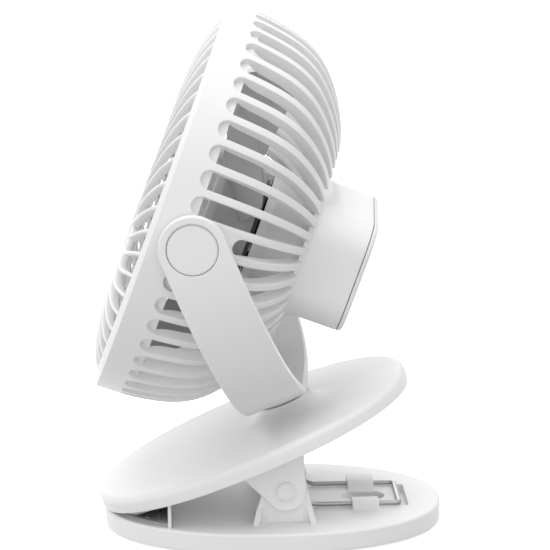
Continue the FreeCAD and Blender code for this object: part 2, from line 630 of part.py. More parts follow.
def usb_socket():
    x0, x1 = head_x(BOARD_DEPTH + BOARD_THICK), head_x(CAP_REAR - 0.6)
    shell = box(x0, x1, PORT_Y - PORT_HALF_Y, PORT_Y + PORT_HALF_Y,
                BOARD_Z - PORT_HALF_Z, BOARD_Z + PORT_HALF_Z)
    shell = shell.makeFillet(1.2, [e for e in shell.Edges if e.BoundBox.XLength > 5])
    mouth = box(x1 - 6.0, x1 + 1, PORT_Y - 3.9, PORT_Y + 3.9, BOARD_Z - 1.15, BOARD_Z + 1.15)
    tongue = box(x1 - 6.5, x1 - 1.2, PORT_Y - 3.2, PORT_Y + 3.2, BOARD_Z - 0.35, BOARD_Z + 0.35)
    return placed(shell.cut(mouth).fuse(tongue).removeSplitter(), head_place())


def tact_switch():
    x0 = head_x(BOARD_DEPTH + BOARD_THICK)
    base = box(x0, x0 + SWITCH_HEIGHT, -3.0, 3.0, BUTTON_Z - 3.0, BUTTON_Z + 3.0)
    return placed(base, head_place())


def charge_lens():
    lens = cylinder(1.15, head_x(BOARD_DEPTH + BOARD_THICK), head_x(CAP_REAR + 0.2))
    return placed(moved(lens, y=LENS_Y, z=BOARD_Z), head_place())


def speed_button():
    """The speed button in the rear cap, with a flange inside and a stem to the switch."""
    back = CAP_REAR + 1.0
    face = cylinder(BUTTON_R, head_x(CAP_REAR - 2.1), head_x(back))
    face = face.makeFillet(0.5, [e for e in face.Edges if abs(e.BoundBox.XMin - head_x(back)) < 1e-3
                                 and e.BoundBox.XLength < 1e-3])
    flange = cylinder(BUTTON_R + 1.0, head_x(CAP_REAR - 3.4), head_x(CAP_REAR - CAP_THICK - 0.3))
    switch_top = BOARD_DEPTH + BOARD_THICK + SWITCH_HEIGHT
    stem = cylinder(1.5, head_x(switch_top + BUTTON_TRAVEL + 0.25), head_x(CAP_REAR - 3.2))
    return placed(moved(fused([face, flange, stem]), z=BUTTON_Z), head_place())


def battery_cell():
    can = moved(cylinder(CELL_R, -CELL_HALF, CELL_HALF, Y), x=head_x(CELL_DEPTH), z=CELL_Z)
    nub = moved(cylinder(2.8, CELL_HALF, CELL_HALF + 1.0, Y), x=head_x(CELL_DEPTH), z=CELL_Z)
    return placed(can.fuse(nub).removeSplitter(), head_place())


def battery_contacts():
    x, half = head_x(CELL_DEPTH), CONTACT_HALF
    plus_y, minus_y = CELL_HALF + 1.0, -CELL_HALF - CONTACT_THICK
    plates = [box(x - half, x + half, y, y + CONTACT_THICK, CELL_Z - half, CELL_Z + half)
              for y in (plus_y, minus_y)]
    return placed(Part.makeCompound(plates), head_place())


def pivot_screws():
    """Two shoulder screws through the arms' webs into the cage's bosses."""
    web_out = YOKE_HALF_WIDTH - PIVOT_RECESS_DEPTH
    head = cylinder(4.5, web_out + 0.25, web_out + 1.05, Y)
    shoulder = cylinder(PIVOT_SHOULDER_R, pivot_boss_face(), web_out + 0.3, Y)
    thread = cylinder(PIVOT_THREAD_R, pivot_boss_face() - 9.0, pivot_boss_face() + 0.1, Y)
    screw = fused([head, shoulder, thread])
    return placed(Part.makeCompound(both_sides(screw)), head_place())


def pivot_washers():
    washer = tube(5.6, PIVOT_SHOULDER_R, pivot_boss_face(), pivot_boss_face() + PIVOT_WASHER_THICK, Y)
    return placed(Part.makeCompound(both_sides(washer)), head_place())


# ---- front grille ------------------------------------------------------------------------------

def dish_zone(thick):
    """The grille's bulge: its front line and the same line moved back."""
    return ring_between([(r, -f) for r, f in DISH], [(r, thick - f) for r, f in DISH])


def spiral_wall(r_in, r_out, swirl, thick):
    """An upright wall along the fan's axis whose plan is a curved rib from r_in to r_out."""
    def at(radius, offset):
        share = max((r_out - radius) / (r_out - r_in), 0.0)
        angle = math.radians(swirl) * share ** 1.2
        return V(head_x(-20), -radius * math.sin(angle) + offset, radius * math.cos(angle))
    radii = [r_in + (r_out - r_in) * i / 5 for i in range(6)]
    corners = [at(r, -thick / 2) for r in radii] + [at(r, thick / 2) for r in radii[::-1]]
    return Part.Face(Part.makePolygon(corners + corners[:1])).extrude(V(40, 0, 0))


def turned_copies(shape, count, start=0.0):
    return Part.makeCompound([turned(shape, start + 360 / count * i) for i in range(count)])


def front_grille():
    zone = dish_zone(GRILLE_DEEP)
    outer = spiral_wall(GRILLE_RING_R - 1, GRILLE_FACE_R + 0.8, GRILLE_SWIRL, GRILLE_RIB)
    inner = spiral_wall(GRILLE_HUB_R - 1, GRILLE_RING_R, GRILLE_INNER_SWIRL, GRILLE_RIB)
    outer_ribs = zone.common(turned_copies(outer, SLOTS)).Solids
    inner_ribs = zone.common(turned_copies(inner, GRILLE_INNER_RIBS, 3.0)).Solids
    front, back = head_x(-20), head_x(10)
    ring = zone.common(tube(GRILLE_RING_R + GRILLE_RING_W, GRILLE_RING_R, front, back))
    hub = zone.common(cylinder(GRILLE_HUB_R, front, back))
    flange = tube(GRILLE_R, GRILLE_FACE_R - 1.2, head_x(0), head_x(GRILLE_DEEP))
    skirt = tube(GRILLE_R, GRILLE_R - 1.4, head_x(0), head_x(GRILLE_SKIRT))
    lip = zone.common(tube(GRILLE_FACE_R + 0.5, GRILLE_FACE_R - 2.6, front, back))
    body = fused([flange, skirt, lip, ring, hub] + outer_ribs + inner_ribs)
    socket = cylinder(GRILLE_CAP_R, front, head_x(GRILLE_CAP_BACK))
    return placed(body.cut(socket), head_place())


def grille_cap():
    cap = cylinder(GRILLE_CAP_R - 0.1, head_x(GRILLE_CAP_FRONT), head_x(GRILLE_CAP_BACK))
    front = [e for e in cap.Edges
             if abs(e.BoundBox.XMin - head_x(GRILLE_CAP_FRONT)) < 1e-3 and e.BoundBox.XLength < 1e-3]
    return placed(cap.makeFillet(0.8, front), head_place())


# ---- impeller and motor ------------------------------------------------------------------------

def blade_section(radius, half_chord, depth_front, depth_rear, thick):
    """A thin slanted section across the blade at one radius, for a blade that points up."""
    front, rear = head_x(depth_front), head_x(depth_rear)
    chord = V(rear - front, -2 * half_chord, 0)
    normal = V(-chord.y, chord.x, 0)
    normal.normalize()
    normal = normal * (thick / 2)
    a, b = V(front, half_chord, radius), V(rear, -half_chord, radius)
    corners = [a + normal, b + normal, b - normal, a - normal]
    return Part.makePolygon(corners + corners[:1])


def impeller():
    hub = cylinder(HUB_R, head_x(HUB_FRONT), head_x(HUB_REAR))
    nose = [e for e in hub.Edges
            if abs(e.BoundBox.XMin - head_x(HUB_FRONT)) < 1e-3 and e.BoundBox.XLength < 1e-3]
    hub = hub.makeFillet(3.0, nose)
    blade = Part.makeLoft([blade_section(*section) for section in BLADE_SECTIONS], True, False)
    blade = blade.common(tube(TIP_R, HUB_R - 1.2, head_x(BLADE_SPACE[0]), head_x(BLADE_SPACE[1])))
    body = fused([hub] + [turned(blade, BLADE_REST + 360 / BLADES * i) for i in range(BLADES)])
    body = body.cut(cylinder(ROTOR_R, head_x(HUB_FRONT + HUB_WALL), head_x(HUB_REAR + 5)))
    boss = cylinder(4.0, head_x(HUB_FRONT + HUB_WALL - 0.2), head_x(HUB_FRONT + HUB_WALL + 1.0))
    body = body.fuse(boss).cut(cylinder(SHAFT_MOTOR_R, head_x(HUB_FRONT + 0.8), head_x(60)))
    return placed(body.removeSplitter(), head_place())


def rotor_can():
    front = HUB_FRONT + HUB_WALL + 1.0
    can = cylinder(ROTOR_R, head_x(front), head_x(ROTOR_REAR))
    can = can.cut(cylinder(ROTOR_R - ROTOR_WALL, head_x(front + ROTOR_WALL), head_x(60)))
    can = can.cut(cylinder(SHAFT_MOTOR_R, head_x(0), head_x(60)))
    return placed(can, head_place())


def rotor_magnet():
    outer = ROTOR_R - ROTOR_WALL
    return placed(tube(outer, outer - MAGNET_WALL, head_x(MAGNET_FRONT), head_x(MAGNET_REAR)), head_place())


def motor_shaft():
    return placed(cylinder(SHAFT_MOTOR_R, head_x(HUB_FRONT + 0.8), head_x(SHAFT_REAR)), head_place())


def motor_base():
    """The fixed plate behind the rotor, with the tube that carries the stator and both bearings."""
    disc = cylinder(BASE_DISC_R, head_x(SEAT_FRONT), head_x(SEAT_FLOOR_FRONT))
    post = cylinder(BASE_POST_R, head_x(BEARING_FRONTS[0] - 0.2), head_x(SEAT_FLOOR_REAR))
    base = disc.fuse(post).removeSplitter().cut(cylinder(BASE_BORE_R, head_x(0), head_x(60)))
    for hole in motor_screw_holes(MOTOR_SCREW_R + 0.1, 30, 45):
        base = base.cut(hole)
    return placed(base, head_place())


def stator():
    front, rear = head_x(STATOR_FRONT), head_x(STATOR_REAR)
    core = cylinder(7.0, front, rear)
    pole = box(front, rear, -2.2, 2.2, 6.0, STATOR_R - 1.1)
    shoe = tube(STATOR_R, STATOR_R - 2.1, front, rear).common(box(front, rear, -4.6, 4.6, 0, 20))
    poles = []
    for i in range(6):
        poles.append(turned(pole, 60 * i))
        poles.append(turned(shoe, 60 * i))
    body = fused([core] + poles).cut(cylinder(BASE_POST_R, head_x(0), head_x(60)))
    return placed(body, head_place())


def motor_bearings():
    rings = [tube(BASE_BORE_R, SHAFT_MOTOR_R + RUN_CLEAR, head_x(d), head_x(d + BEARING_LENGTH))
             for d in BEARING_FRONTS]
    return placed(Part.makeCompound(rings), head_place())


def motor_screws():
    head = cylinder(1.6, head_x(SEAT_FRONT - 1.1), head_x(SEAT_FRONT))
    shank = cylinder(MOTOR_SCREW_R, head_x(SEAT_FRONT - 0.2), head_x(SEAT_FLOOR_REAR))
    screw = moved(head.fuse(shank).removeSplitter(), z=MOTOR_SCREW_CIRCLE)
    return placed(turned_copies(screw, 3), head_place())


PARTS = {
    "lower_jaw": lower_jaw, "foot_pad": foot_pad, "lower_grip_pad": lower_grip_pad, "hinge_pin": hinge_pin,
    "pin_retainer": pin_retainer, "clip_spring": clip_spring,
    "upper_jaw": upper_jaw, "upper_grip_pad": upper_grip_pad, "swivel_bush": swivel_bush,
    "yoke": yoke, "swivel_washer": swivel_washer, "swivel_screw": swivel_screw,
    "pivot_cap_near": lambda: pivot_cap(-1), "pivot_cap_far": lambda: pivot_cap(1),
    "rear_cage": rear_cage, "rear_housing": rear_housing, "rear_cap": rear_cap,
    "front_grille": front_grille, "grille_cap": grille_cap,
    "pivot_screws": pivot_screws, "pivot_washers": pivot_washers, "motor_base": motor_base, "stator": stator,
    "motor_bearings": motor_bearings, "motor_screws": motor_screws, "battery_cell": battery_cell,
    "battery_contacts": battery_contacts, "control_board": control_board, "board_screws": board_screws,
    "usb_socket": usb_socket, "tact_switch": tact_switch, "charge_lens": charge_lens,
    "impeller": impeller, "rotor_can": rotor_can, "rotor_magnet": rotor_magnet, "motor_shaft": motor_shaft,
    "speed_button": speed_button,
}

os.makedirs("parts", exist_ok=True)
for name, make in PARTS.items():
    save(name, make())

pivot = head_place().multVec(ORIGIN)
fan_axis = head_place().Rotation.multVec(X)
print("pivot", pivot, "fan axis", fan_axis, "tilt axis", head_place().Rotation.multVec(Y))
print("neck axis", upper_place().Rotation.multVec(Z))
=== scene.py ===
import json
import math

import bmesh
import bpy
from mathutils import Matrix, Vector


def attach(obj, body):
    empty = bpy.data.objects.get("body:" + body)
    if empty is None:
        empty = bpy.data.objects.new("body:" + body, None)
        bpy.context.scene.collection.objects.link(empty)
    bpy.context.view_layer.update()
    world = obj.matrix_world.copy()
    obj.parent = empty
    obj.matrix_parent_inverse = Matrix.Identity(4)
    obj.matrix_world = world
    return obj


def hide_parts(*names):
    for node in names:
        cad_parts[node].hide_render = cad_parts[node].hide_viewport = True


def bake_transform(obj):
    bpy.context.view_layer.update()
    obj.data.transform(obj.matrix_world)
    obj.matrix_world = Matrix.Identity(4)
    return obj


# A white clip-on desk fan. Lengths are millimetres in each body's own frame; piece() turns them into
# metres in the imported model's frame.

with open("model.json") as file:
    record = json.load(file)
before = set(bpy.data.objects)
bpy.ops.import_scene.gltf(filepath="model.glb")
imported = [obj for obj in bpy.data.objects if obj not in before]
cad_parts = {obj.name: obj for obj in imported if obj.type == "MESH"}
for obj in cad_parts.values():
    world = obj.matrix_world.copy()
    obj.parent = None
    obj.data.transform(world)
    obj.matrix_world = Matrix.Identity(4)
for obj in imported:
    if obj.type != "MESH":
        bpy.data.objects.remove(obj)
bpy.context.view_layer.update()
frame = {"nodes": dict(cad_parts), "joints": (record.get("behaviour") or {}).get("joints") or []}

MM = 0.001
X, Y, Z = Vector((1, 0, 0)), Vector((0, 1, 0)), Vector((0, 0, 1))

# ---- jaws: x to the rear, y across, z up -----------------------
JAW_LENGTH, JAW_WIDTH, JAW_SQUARENESS = 63.0, 55.5, 2.22   # half length, half width, exponent
UPPER_SHORTER = 2.2            # the upper jaw's rear end stops this much earlier
LOWER_TOP, FOOT_PROUD = 8.0, 0.6
FOOT_INSET, FOOT_THICK = 8.2, 1.6
UPPER_THICK, UPPER_ROUND, LOWER_ROUND = 6.0, 2.6, 1.0
GRIP_END, GRIP_INSET, GRIP_THICK = -38.5, 2.2, 1.4
GRIP_RIBS, GRIP_RIB_PITCH, GRIP_RIB_HALF = 4, 4.0, 0.8
STOP_THICK, STOP_GAP = 1.3, 0.45
UPPER_GRIP_DEEP, UPPER_GRIP_LENGTH, UPPER_GRIP_BOW = 1.9, 24.0, 52.0
GRIP_GAP = 0.6                 # between the two grip pads when the clip is closed
LUG_IN, LUG_OUT, EAR_IN, EAR_OUT, EAR_ROUND = 36.0, 38.8, 39.1, 41.6, 7.2
LUG_FOOT, LUG_MIDDLE, LUG_TOP_R = (-8.7, 14.8), 3.3, 8.3
LUG_SUNK = 1.0                 # how far a lug's foot reaches into the plate
PANEL_FRONT, PANEL_REAR, PANEL_PROUD = -3.4, 10.1, 0.35
GUSSET_WIDE, GUSSET_REACH, GUSSET_RISE, GUSSET_LEAN = 2.2, 3.4, 6.4, 1.6
EAR_WIDE = (-10.0, 16.3)
PIN_R, PIN_HEAD_R, PIN_HEAD_H = 2.0, 3.6, 0.9
WIRE_R, COIL_R, COIL_TURNS, COIL_START, COIL_PITCH = 0.85, 6.0, 4, 20.4, 1.85
ARM_TIP = Vector((32.0, 0, -1.2))          # in the upper jaw's frame
LOOP_END, LOOP_HALF, LOOP_Z, LOOP_BEND = 47.0, 15.7, 9.05, 1.9
HOOK_X, HOOK_HALF, RECESS_R, RECESS_DEPTH, POCKET_DEPTH = 34.0, 5.0, 8.3, 2.4, 2.8

# ---- yoke: origin on the tilt axis, y along it, z up the neck --
NECK_X, NECK_TOP, NECK_R, NECK_FLARE = 14.6, 10.4, 10.3, 10.5
YOKE_WIDTH, YOKE_DEPTH, YOKE_SQUARENESS = 80.0, 77.3, 2.25
STRAP_THICK, STRAP_HALF, STRAP_ROUND = 3.6, 12.2, 0.7
STRAP_WAIST, WAIST_REACH = 10.6, 46.0   # half width over the neck, and how far along Y it widens again
DISC_LOW, DISC_HIGH = 1.3, 1.5          # below and above the strap's lowest line
SHAFT_R, SHAFT_LENGTH = 5.0, 7.0
PIVOT_RECESS_R, PIVOT_RECESS_DEPTH, PIVOT_CAP_R = 9.3, 2.3, 9.12

# ---- head: x to the rear, depths counted from the rim's plane --
RIM_X = -14.9
CAGE_LINE = [(75.5, 0.0), (75.35, 7.0), (74.8, 15.0), (73.0, 25.0), (70.6, 32.0), (67.0, 38.0),
             (61.5, 43.6), (54.6, 48.6), (47.5, 52.4), (40.6, 54.9)]   # (radius, depth)
RIBS = 48
RIB_HALF, RIB_DEPTH, RIB_DEPTH_END, CAGE_WALL = 1.45, 4.6, 5.6, 2.4
RIB_RISE = 9.0                 # the length over which a rib reaches its full depth
SLOT_START, SLOT_END_R, EDGE = 9.2, 3.5, 0.4
BAND_ROWS = (0.0, 1.2, 3.0, 5.0, 7.0)   # lengths from the rim on the band in front of the slots
PAD_R, PAD_DEPTH = 14.4, 14.9
BOSS_R, BOSS_IN, BOSS_GAP = 6.0, 64.0, 1.1
HOUSE_Y, HOUSE_Z, HOUSE_CORNER = 38.0, 21.0, 12.0
HOUSE_REAR, HOUSE_WALL, CAP_GAP, CAP_REAR = 75.1, 2.0, 0.3, 77.2
FLARE_FRONT, FLARE_REAR, FLARE_R, FLARE_POWER = 52.9, 66.0, 40.0, 4.6
SEAT_R, SEAT_FRONT, SEAT_REAR_R = 20.3, 36.2, 36.0
BACK_FRONT, BACK_REAR, BACK_R, BACK_BORE = 55.0, 57.6, 20.0, 5.0
DISH = [(72.2, -0.6), (70.6, 1.1), (67.0, 3.4), (60.0, 5.9), (50.0, 7.6), (41.0, 8.0), (32.0, 7.5),
        (21.0, 6.6), (11.0, 5.9)]      # (radius, height in front of the rim's plane)
GRILLE_RIM = [(72.9, 12.6), (72.9, 0.3), (72.5, -0.25), (71.6, -0.9), (70.2, -1.5), (69.0, -1.9),
              (68.4, -1.6), (68.4, 0.9), (71.3, 1.8), (71.5, 12.6)]   # (radius, depth)
GRILLE_RIB_END, GRILLE_RIB_HALF, GRILLE_DEEP, GRILLE_SWIRL = 71.4, 0.8, 3.0, 26.0
GRILLE_RING, GRILLE_HUB, GRILLE_CAP_R = (25.0, 27.6), 11.0, 7.5
INNER_RIBS, INNER_SWIRL, INNER_TURN = 15, 10.0, 3.0
BLADES, BLADE_REST, TIP_R, HUB_R = 5, 54.0, 59.0, 20.0
BLADE_HALF, BLADE_THICK = (8.8, 18.8), (2.0, 1.3)       # at the hub, at the tip
BLADE_FRONT, BLADE_REAR, BLADE_CAMBER = (17.2, 14.0), (28.5, 33.5), 0.16
HUB_FRONT, HUB_REAR, HUB_NOSE, HUB_WALL = 16.4, 34.0, 3.4, 2.0
BUTTON_R, BUTTON_PROUD, BUTTON_Z, BOARD_Z = 5.5, 1.0, -9.8, -11.0
PORT_Y, PORT_HALF, PORT_R, LENS_Y, LENS_R = 16.0, 3.0, 1.75, -19.0, 1.2
CUT_FROM, CUT_TO = 40, 80      # the lid's cutters reach through it, in the head's own x

# ---- studio: metres --------------------------------------------
LIT_POINT = (-0.02, 0, 0.11)
SOFTBOXES = {                            # place, width, watts
    "key_overhead": ((-0.15, -0.10, 1.5), 1.4, 7.5),
    "back_light": ((-0.25, 1.7, 0.65), 1.5, 5.5),
    "fill_front": ((-0.2, -1.9, 0.4), 1.0, 0.8),
}
SKY_BRIGHT_SIDE = (-0.30, -0.26, 0.92)   # brighter above, and a little towards the camera and the grille
SKY_LEVELS = (0.32, 1.12)
FLOOR_HALF, FLOOR_GLOW = 12.0, 0.45
CAMERA_PLACE, CAMERA_LENS = (-0.04606, -1.29518, 0.33481), 231.14
CAMERA_YAW, CAMERA_PITCH, CAMERA_ROLL = 0.037, 0.1842, 0.0109   # radians


# ---- frames ----------------------------------------------------

def joint(name):
    """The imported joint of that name."""
    return next(j for j in frame["joints"] if j["name"] == name)


def frame_at(origin, x, y, z):
    """A local frame in millimetres: its matrix gives metres in the model's frame."""
    matrix = Matrix((x, y, z)).transposed().to_4x4()
    matrix.translation = origin
    return matrix @ Matrix.Scale(MM, 4)


hinge = Vector(joint("jaw_hinge")["pos_m"]) / MM
neck_axis = Vector(joint("yoke_swivel")["axis"]).normalized()
tilt_axis = Vector(joint("head_tilt")["axis"]).normalized()
fan_axis = Vector(joint("impeller_spin")["axis"]).normalized()
swivel = Vector(joint("yoke_swivel")["pos_m"])
pivot = Vector(joint("head_tilt")["pos_m"])

BASE = Matrix.Scale(MM, 4)
upper_x = Y.cross(neck_axis)
UPPER = frame_at(swivel - (upper_x * NECK_X + neck_axis * NECK_TOP) * MM, upper_x, Y, neck_axis)
YOKE = frame_at(pivot, tilt_axis.cross(neck_axis), tilt_axis, neck_axis)
HEAD = frame_at(pivot, fan_axis, tilt_axis, fan_axis.cross(tilt_axis))


# ---- mesh building ---------------------------------------------

def new_ring(bm, points):
    return [bm.verts.new(p) for p in points]


def bridge(bm, a, b, closed=True):
    count = len(a) if closed else len(a) - 1
    for i in range(count):
        j = (i + 1) % len(a)
        bm.faces.new((a[i], a[j], b[j], b[i]))


def loft(rings, caps=True, closed=False, around=True):
    """A skin over rings of points; caps fill both ends, closed joins the last ring to the first."""
    bm = bmesh.new()
    made = [new_ring(bm, ring) for ring in rings]
    for a, b in zip(made, made[1:]):
        bridge(bm, a, b, around)
    if closed:
        bridge(bm, made[-1], made[0], around)
    elif caps:
        bm.faces.new(made[0])
        bm.faces.new(made[-1])
    clean(bm)
    return bm


def clean(bm, distance=1e-3):
    bmesh.ops.remove_doubles(bm, verts=bm.verts, dist=distance)
    bmesh.ops.dissolve_degenerate(bm, edges=bm.edges, dist=distance)
    bmesh.ops.recalc_face_normals(bm, faces=bm.faces)


def soften(bm, width, angle=32.0, segments=2):
    """Rounds the edges that turn by more than an angle."""
    sharp = [e for e in bm.edges if len(e.link_faces) == 2 and e.calc_face_angle(0) > math.radians(angle)]
    bmesh.ops.bevel(bm, geom=sharp, offset=width, segments=segments, profile=0.5, affect="EDGES",
                    clamp_overlap=True)
    return bm


def joined(parts):
    """One mesh from several; each is freed."""
    whole = bmesh.new()
    for part in parts:
        mesh = bpy.data.meshes.new("part")
        part.to_mesh(mesh)
        whole.from_mesh(mesh)
        bpy.data.meshes.remove(mesh)
        part.free()
    return whole


def copied(bm, matrix):
    other = bm.copy()
    other.transform(matrix)
    if matrix.determinant() < 0:
        bmesh.ops.reverse_faces(other, faces=other.faces)
    return other


def both_sides(bm):
    return [bm, copied(bm, Matrix.Scale(-1, 4, Y))]


def about(axis, degrees, bm):
    return copied(bm, Matrix.Rotation(math.radians(degrees), 4, axis))


def superellipse(a, b, n, z, count=176):
    """A ring of the curve |x / a| ** n + |y / b| ** n = 1."""
    points = []
    for i in range(count):
        t = 2 * math.pi * i / count
        c, s = math.cos(t), math.sin(t)
        x, y = math.copysign(a * abs(c) ** (2 / n), c), math.copysign(b * abs(s) ** (2 / n), s)
        points.append(Vector((x, y, z)))
    return points


def mix(pair, share):
    return pair[0] + (pair[1] - pair[0]) * share


def ease(share):
    """0 to 1 with soft ends, for a share held between them."""
    share = min(max(share, 0.0), 1.0)
    return share * share * (3 - 2 * share)


def jaw_ring(inset, z):
    return superellipse(JAW_LENGTH - inset, JAW_WIDTH - inset, JAW_SQUARENESS, z)


def upper_ring(inset, z):
    shrunk = JAW_LENGTH - UPPER_SHORTER / 2 - inset
    ring = superellipse(shrunk, JAW_WIDTH - inset, JAW_SQUARENESS, z)
    return [p - X * UPPER_SHORTER / 2 for p in ring]


def arc(centre, radius, start, end, steps=10):
    """Points of an arc in a plane, as (a, b) pairs; angles in degrees."""
    angles = [math.radians(start + (end - start) * i / steps) for i in range(steps + 1)]
    return [(centre[0] + radius * math.cos(t), centre[1] + radius * math.sin(t)) for t in angles]


def edge_round(radius, steps=6):
    """(inset, drop) pairs of a quarter round, from the side wall to the top face."""
    angles = [math.pi / 2 * i / steps for i in range(steps + 1)]
    return [(radius * (1 - math.cos(t)), radius * (1 - math.sin(t))) for t in angles]


def revolve(profile, axis="X", steps=96, closed=False):
    """Turns (radius, along) points about an axis through the origin; closed joins their ends."""
    rings = []
    for i in range(steps):
        t = 2 * math.pi * i / steps
        a, b = math.cos(t), math.sin(t)
        place = {"X": lambda r, h: (h, r * a, r * b), "Y": lambda r, h: (r * b, h, r * a),
                 "Z": lambda r, h: (r * a, r * b, h)}[axis]
        rings.append([Vector(place(r, h)) for r, h in profile])
    return loft(rings, closed=True, around=closed)


def rod(radius, low, high, axis="X", steps=96):
    """A plain cylinder on an axis, as a cutter or a hidden core."""
    return revolve([(0, low), (radius, low), (radius, high), (0, high)], axis, steps)


def prism(outline, low, high, edge=0.4):
    """An outline of (x, z) points pushed along Y from low to high, with rounded edges."""
    rings = [[Vector((x, y, z)) for x, z in outline] for y in (low, high)]
    return soften(loft(rings), edge)


def block(low, high, edge=0.4):
    (x0, y0, z0), (x1, y1, z1) = low, high
    return prism([(x0, z0), (x1, z0), (x1, z1), (x0, z1)], y0, y1, edge)


def rounded_corners(points, radius, steps=6):
    """A path with its corners replaced by arcs."""
    path = [points[0]]
    for before, corner, after in zip(points, points[1:], points[2:]):
        u, v = (before - corner).normalized(), (after - corner).normalized()
        half = u.angle(v) / 2
        reach = min(radius / math.tan(half), (before - corner).length / 2, (after - corner).length / 2)
        centre = corner + (u + v).normalized() * reach / math.cos(half)
        size = reach * math.tan(half)
        for i in range(steps + 1):
            mid = (corner + u * reach).lerp(corner + v * reach, i / steps)
            path.append(centre + (mid - centre).normalized() * size)
    return path + [points[-1]]


def tube(path, radius, sides=14):
    """Round wire along a path."""
    rings = []
    along = (path[1] - path[0]).normalized()
    out = along.orthogonal().normalized()
    for i, point in enumerate(path):
        ahead = path[min(i + 1, len(path) - 1)] - path[max(i - 1, 0)]
        ahead.normalize()
        out = (out - ahead * out.dot(ahead)).normalized()
        other = ahead.cross(out)
        turns = [2 * math.pi * k / sides for k in range(sides)]
        rings.append([point + (out * math.cos(t) + other * math.sin(t)) * radius for t in turns])
    return loft(rings)


def cut(bm, cutters):
    """Takes the cutters away from a mesh."""
    target = mesh_object("cut_target", bm)
    for cutter in cutters:
        tool = mesh_object("cut_tool", cutter)
        modifier = target.modifiers.new("cut", "BOOLEAN")
        modifier.operation, modifier.solver, modifier.object = "DIFFERENCE", "EXACT", tool
        bpy.context.view_layer.update()
        evaluated = target.evaluated_get(bpy.context.evaluated_depsgraph_get())
        result = bpy.data.meshes.new_from_object(evaluated)
        target.modifiers.clear()
        target.data = result
        bpy.data.objects.remove(tool)
    out = bmesh.new()
    out.from_mesh(target.data)
    bpy.data.objects.remove(target)
    clean(out)
    return out


def mesh_object(name, bm):
    mesh = bpy.data.meshes.new(name)
    bm.to_mesh(mesh)
    bm.free()
    made = bpy.data.objects.new(name, mesh)
    bpy.context.scene.collection.objects.link(made)
    return made


def piece(name, bm, matrix, body, material, replaces=(), sharp=34.0):
    """Turns a mesh into a finished piece that rides on a body; edges over the sharp angle stay crisp."""
    bm.transform(matrix)
    made = mesh_object(name, bm)
    made.data.shade_smooth()
    made.data.set_sharp_from_angle(angle=math.radians(sharp))
    normals = made.modifiers.new("normals", "WEIGHTED_NORMAL")
    normals.keep_sharp = True
    made.data.materials.append(material)
    if body:
        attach(made, body)
    if replaces:
        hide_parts(*replaces)
    return made


# ---- finishes --------------------------------------------------

def finish(name, colour, other, rough, grain, depth, metallic=0.0, specular=0.5, wear=0.02, patches=18.0):
    """A moulded or metal surface: two close tones in soft patches, fine grain in roughness and bump."""
    made = bpy.data.materials.new(name)
    made.use_nodes = True
    nodes, links = made.node_tree.nodes, made.node_tree.links
    shader = nodes["Principled BSDF"]
    shader.inputs["Metallic"].default_value = metallic
    shader.inputs["Specular IOR Level"].default_value = specular
    place = nodes.new("ShaderNodeTexCoord")
    soft = nodes.new("ShaderNodeTexNoise")
    soft.inputs["Scale"].default_value = patches
    soft.inputs["Detail"].default_value = 3.0
    tone = nodes.new("ShaderNodeValToRGB")
    tone.color_ramp.elements[0].color = (*other, 1)
    tone.color_ramp.elements[1].color = (*colour, 1)
    tone.color_ramp.elements[0].position, tone.color_ramp.elements[1].position = 0.3, 0.7
    fine = nodes.new("ShaderNodeTexNoise")
    fine.inputs["Scale"].default_value = grain
    fine.inputs["Detail"].default_value = 4.0
    gloss = nodes.new("ShaderNodeMapRange")
    gloss.inputs["To Min"].default_value = rough - wear
    gloss.inputs["To Max"].default_value = rough + wear
    bump = nodes.new("ShaderNodeBump")
    bump.inputs["Distance"].default_value = depth * MM
    bump.inputs["Strength"].default_value = 0.6
    links.new(place.outputs["Object"], soft.inputs["Vector"])
    links.new(place.outputs["Object"], fine.inputs["Vector"])
    links.new(soft.outputs["Fac"], tone.inputs["Fac"])
    links.new(tone.outputs["Color"], shader.inputs["Base Color"])
    links.new(fine.outputs["Fac"], gloss.inputs["Value"])
    links.new(gloss.outputs["Result"], shader.inputs["Roughness"])
    links.new(fine.outputs["Fac"], bump.inputs["Height"])
    links.new(bump.outputs["Normal"], shader.inputs["Normal"])
    return made


def grey(level, warmth=0.0):
    return (level * (1 + warmth), level, level * (1 - warmth))


SHELL = finish("white_moulding", grey(0.86), grey(0.84), 0.42, 1400.0, 0.03, specular=0.4)
GRILLE = finish("grille_moulding", grey(0.87), grey(0.85), 0.40, 1400.0, 0.03, specular=0.4)
# The blades are white plastic; this dark grey is painted shade, the shade they sit in inside the cage.
SHADED_BLADE = finish("blade_painted_shade", grey(0.36), grey(0.335), 0.38, 1200.0, 0.03, specular=0.4)
SEAT = finish("seat_moulding", grey(0.74), grey(0.72), 0.45, 1200.0, 0.03, specular=0.4)
RUBBER = finish("grey_rubber", grey(0.42), grey(0.38), 0.72, 900.0, 0.08, specular=0.25)
WIRE = finish("drawn_wire", grey(0.52), grey(0.45), 0.33, 2600.0, 0.02, metallic=1.0, wear=0.08)
PIN = finish("pin_plastic", grey(0.84), grey(0.82), 0.36, 1500.0, 0.02)
STEEL = finish("bright_steel", grey(0.62), grey(0.55), 0.28, 2400.0, 0.02, metallic=1.0, wear=0.06)
BUSH = finish("bush_acetal", grey(0.80, 0.02), grey(0.77, 0.02), 0.35, 1500.0, 0.02)
BLACK = finish("black_can", grey(0.035), grey(0.028), 0.42, 1800.0, 0.03, metallic=0.3, wear=0.05)
MAGNET = finish("ferrite", grey(0.12), grey(0.10), 0.65, 1500.0, 0.05)
COPPER = finish("copper_wire", (0.72, 0.34, 0.17), (0.62, 0.27, 0.12), 0.35, 3000.0, 0.08, metallic=1.0)
SLEEVE = finish("cell_sleeve", (0.10, 0.22, 0.46), (0.08, 0.18, 0.40), 0.30, 1500.0, 0.02)
BOARD = finish("solder_mask", (0.03, 0.22, 0.09), (0.02, 0.18, 0.07), 0.38, 2200.0, 0.04)
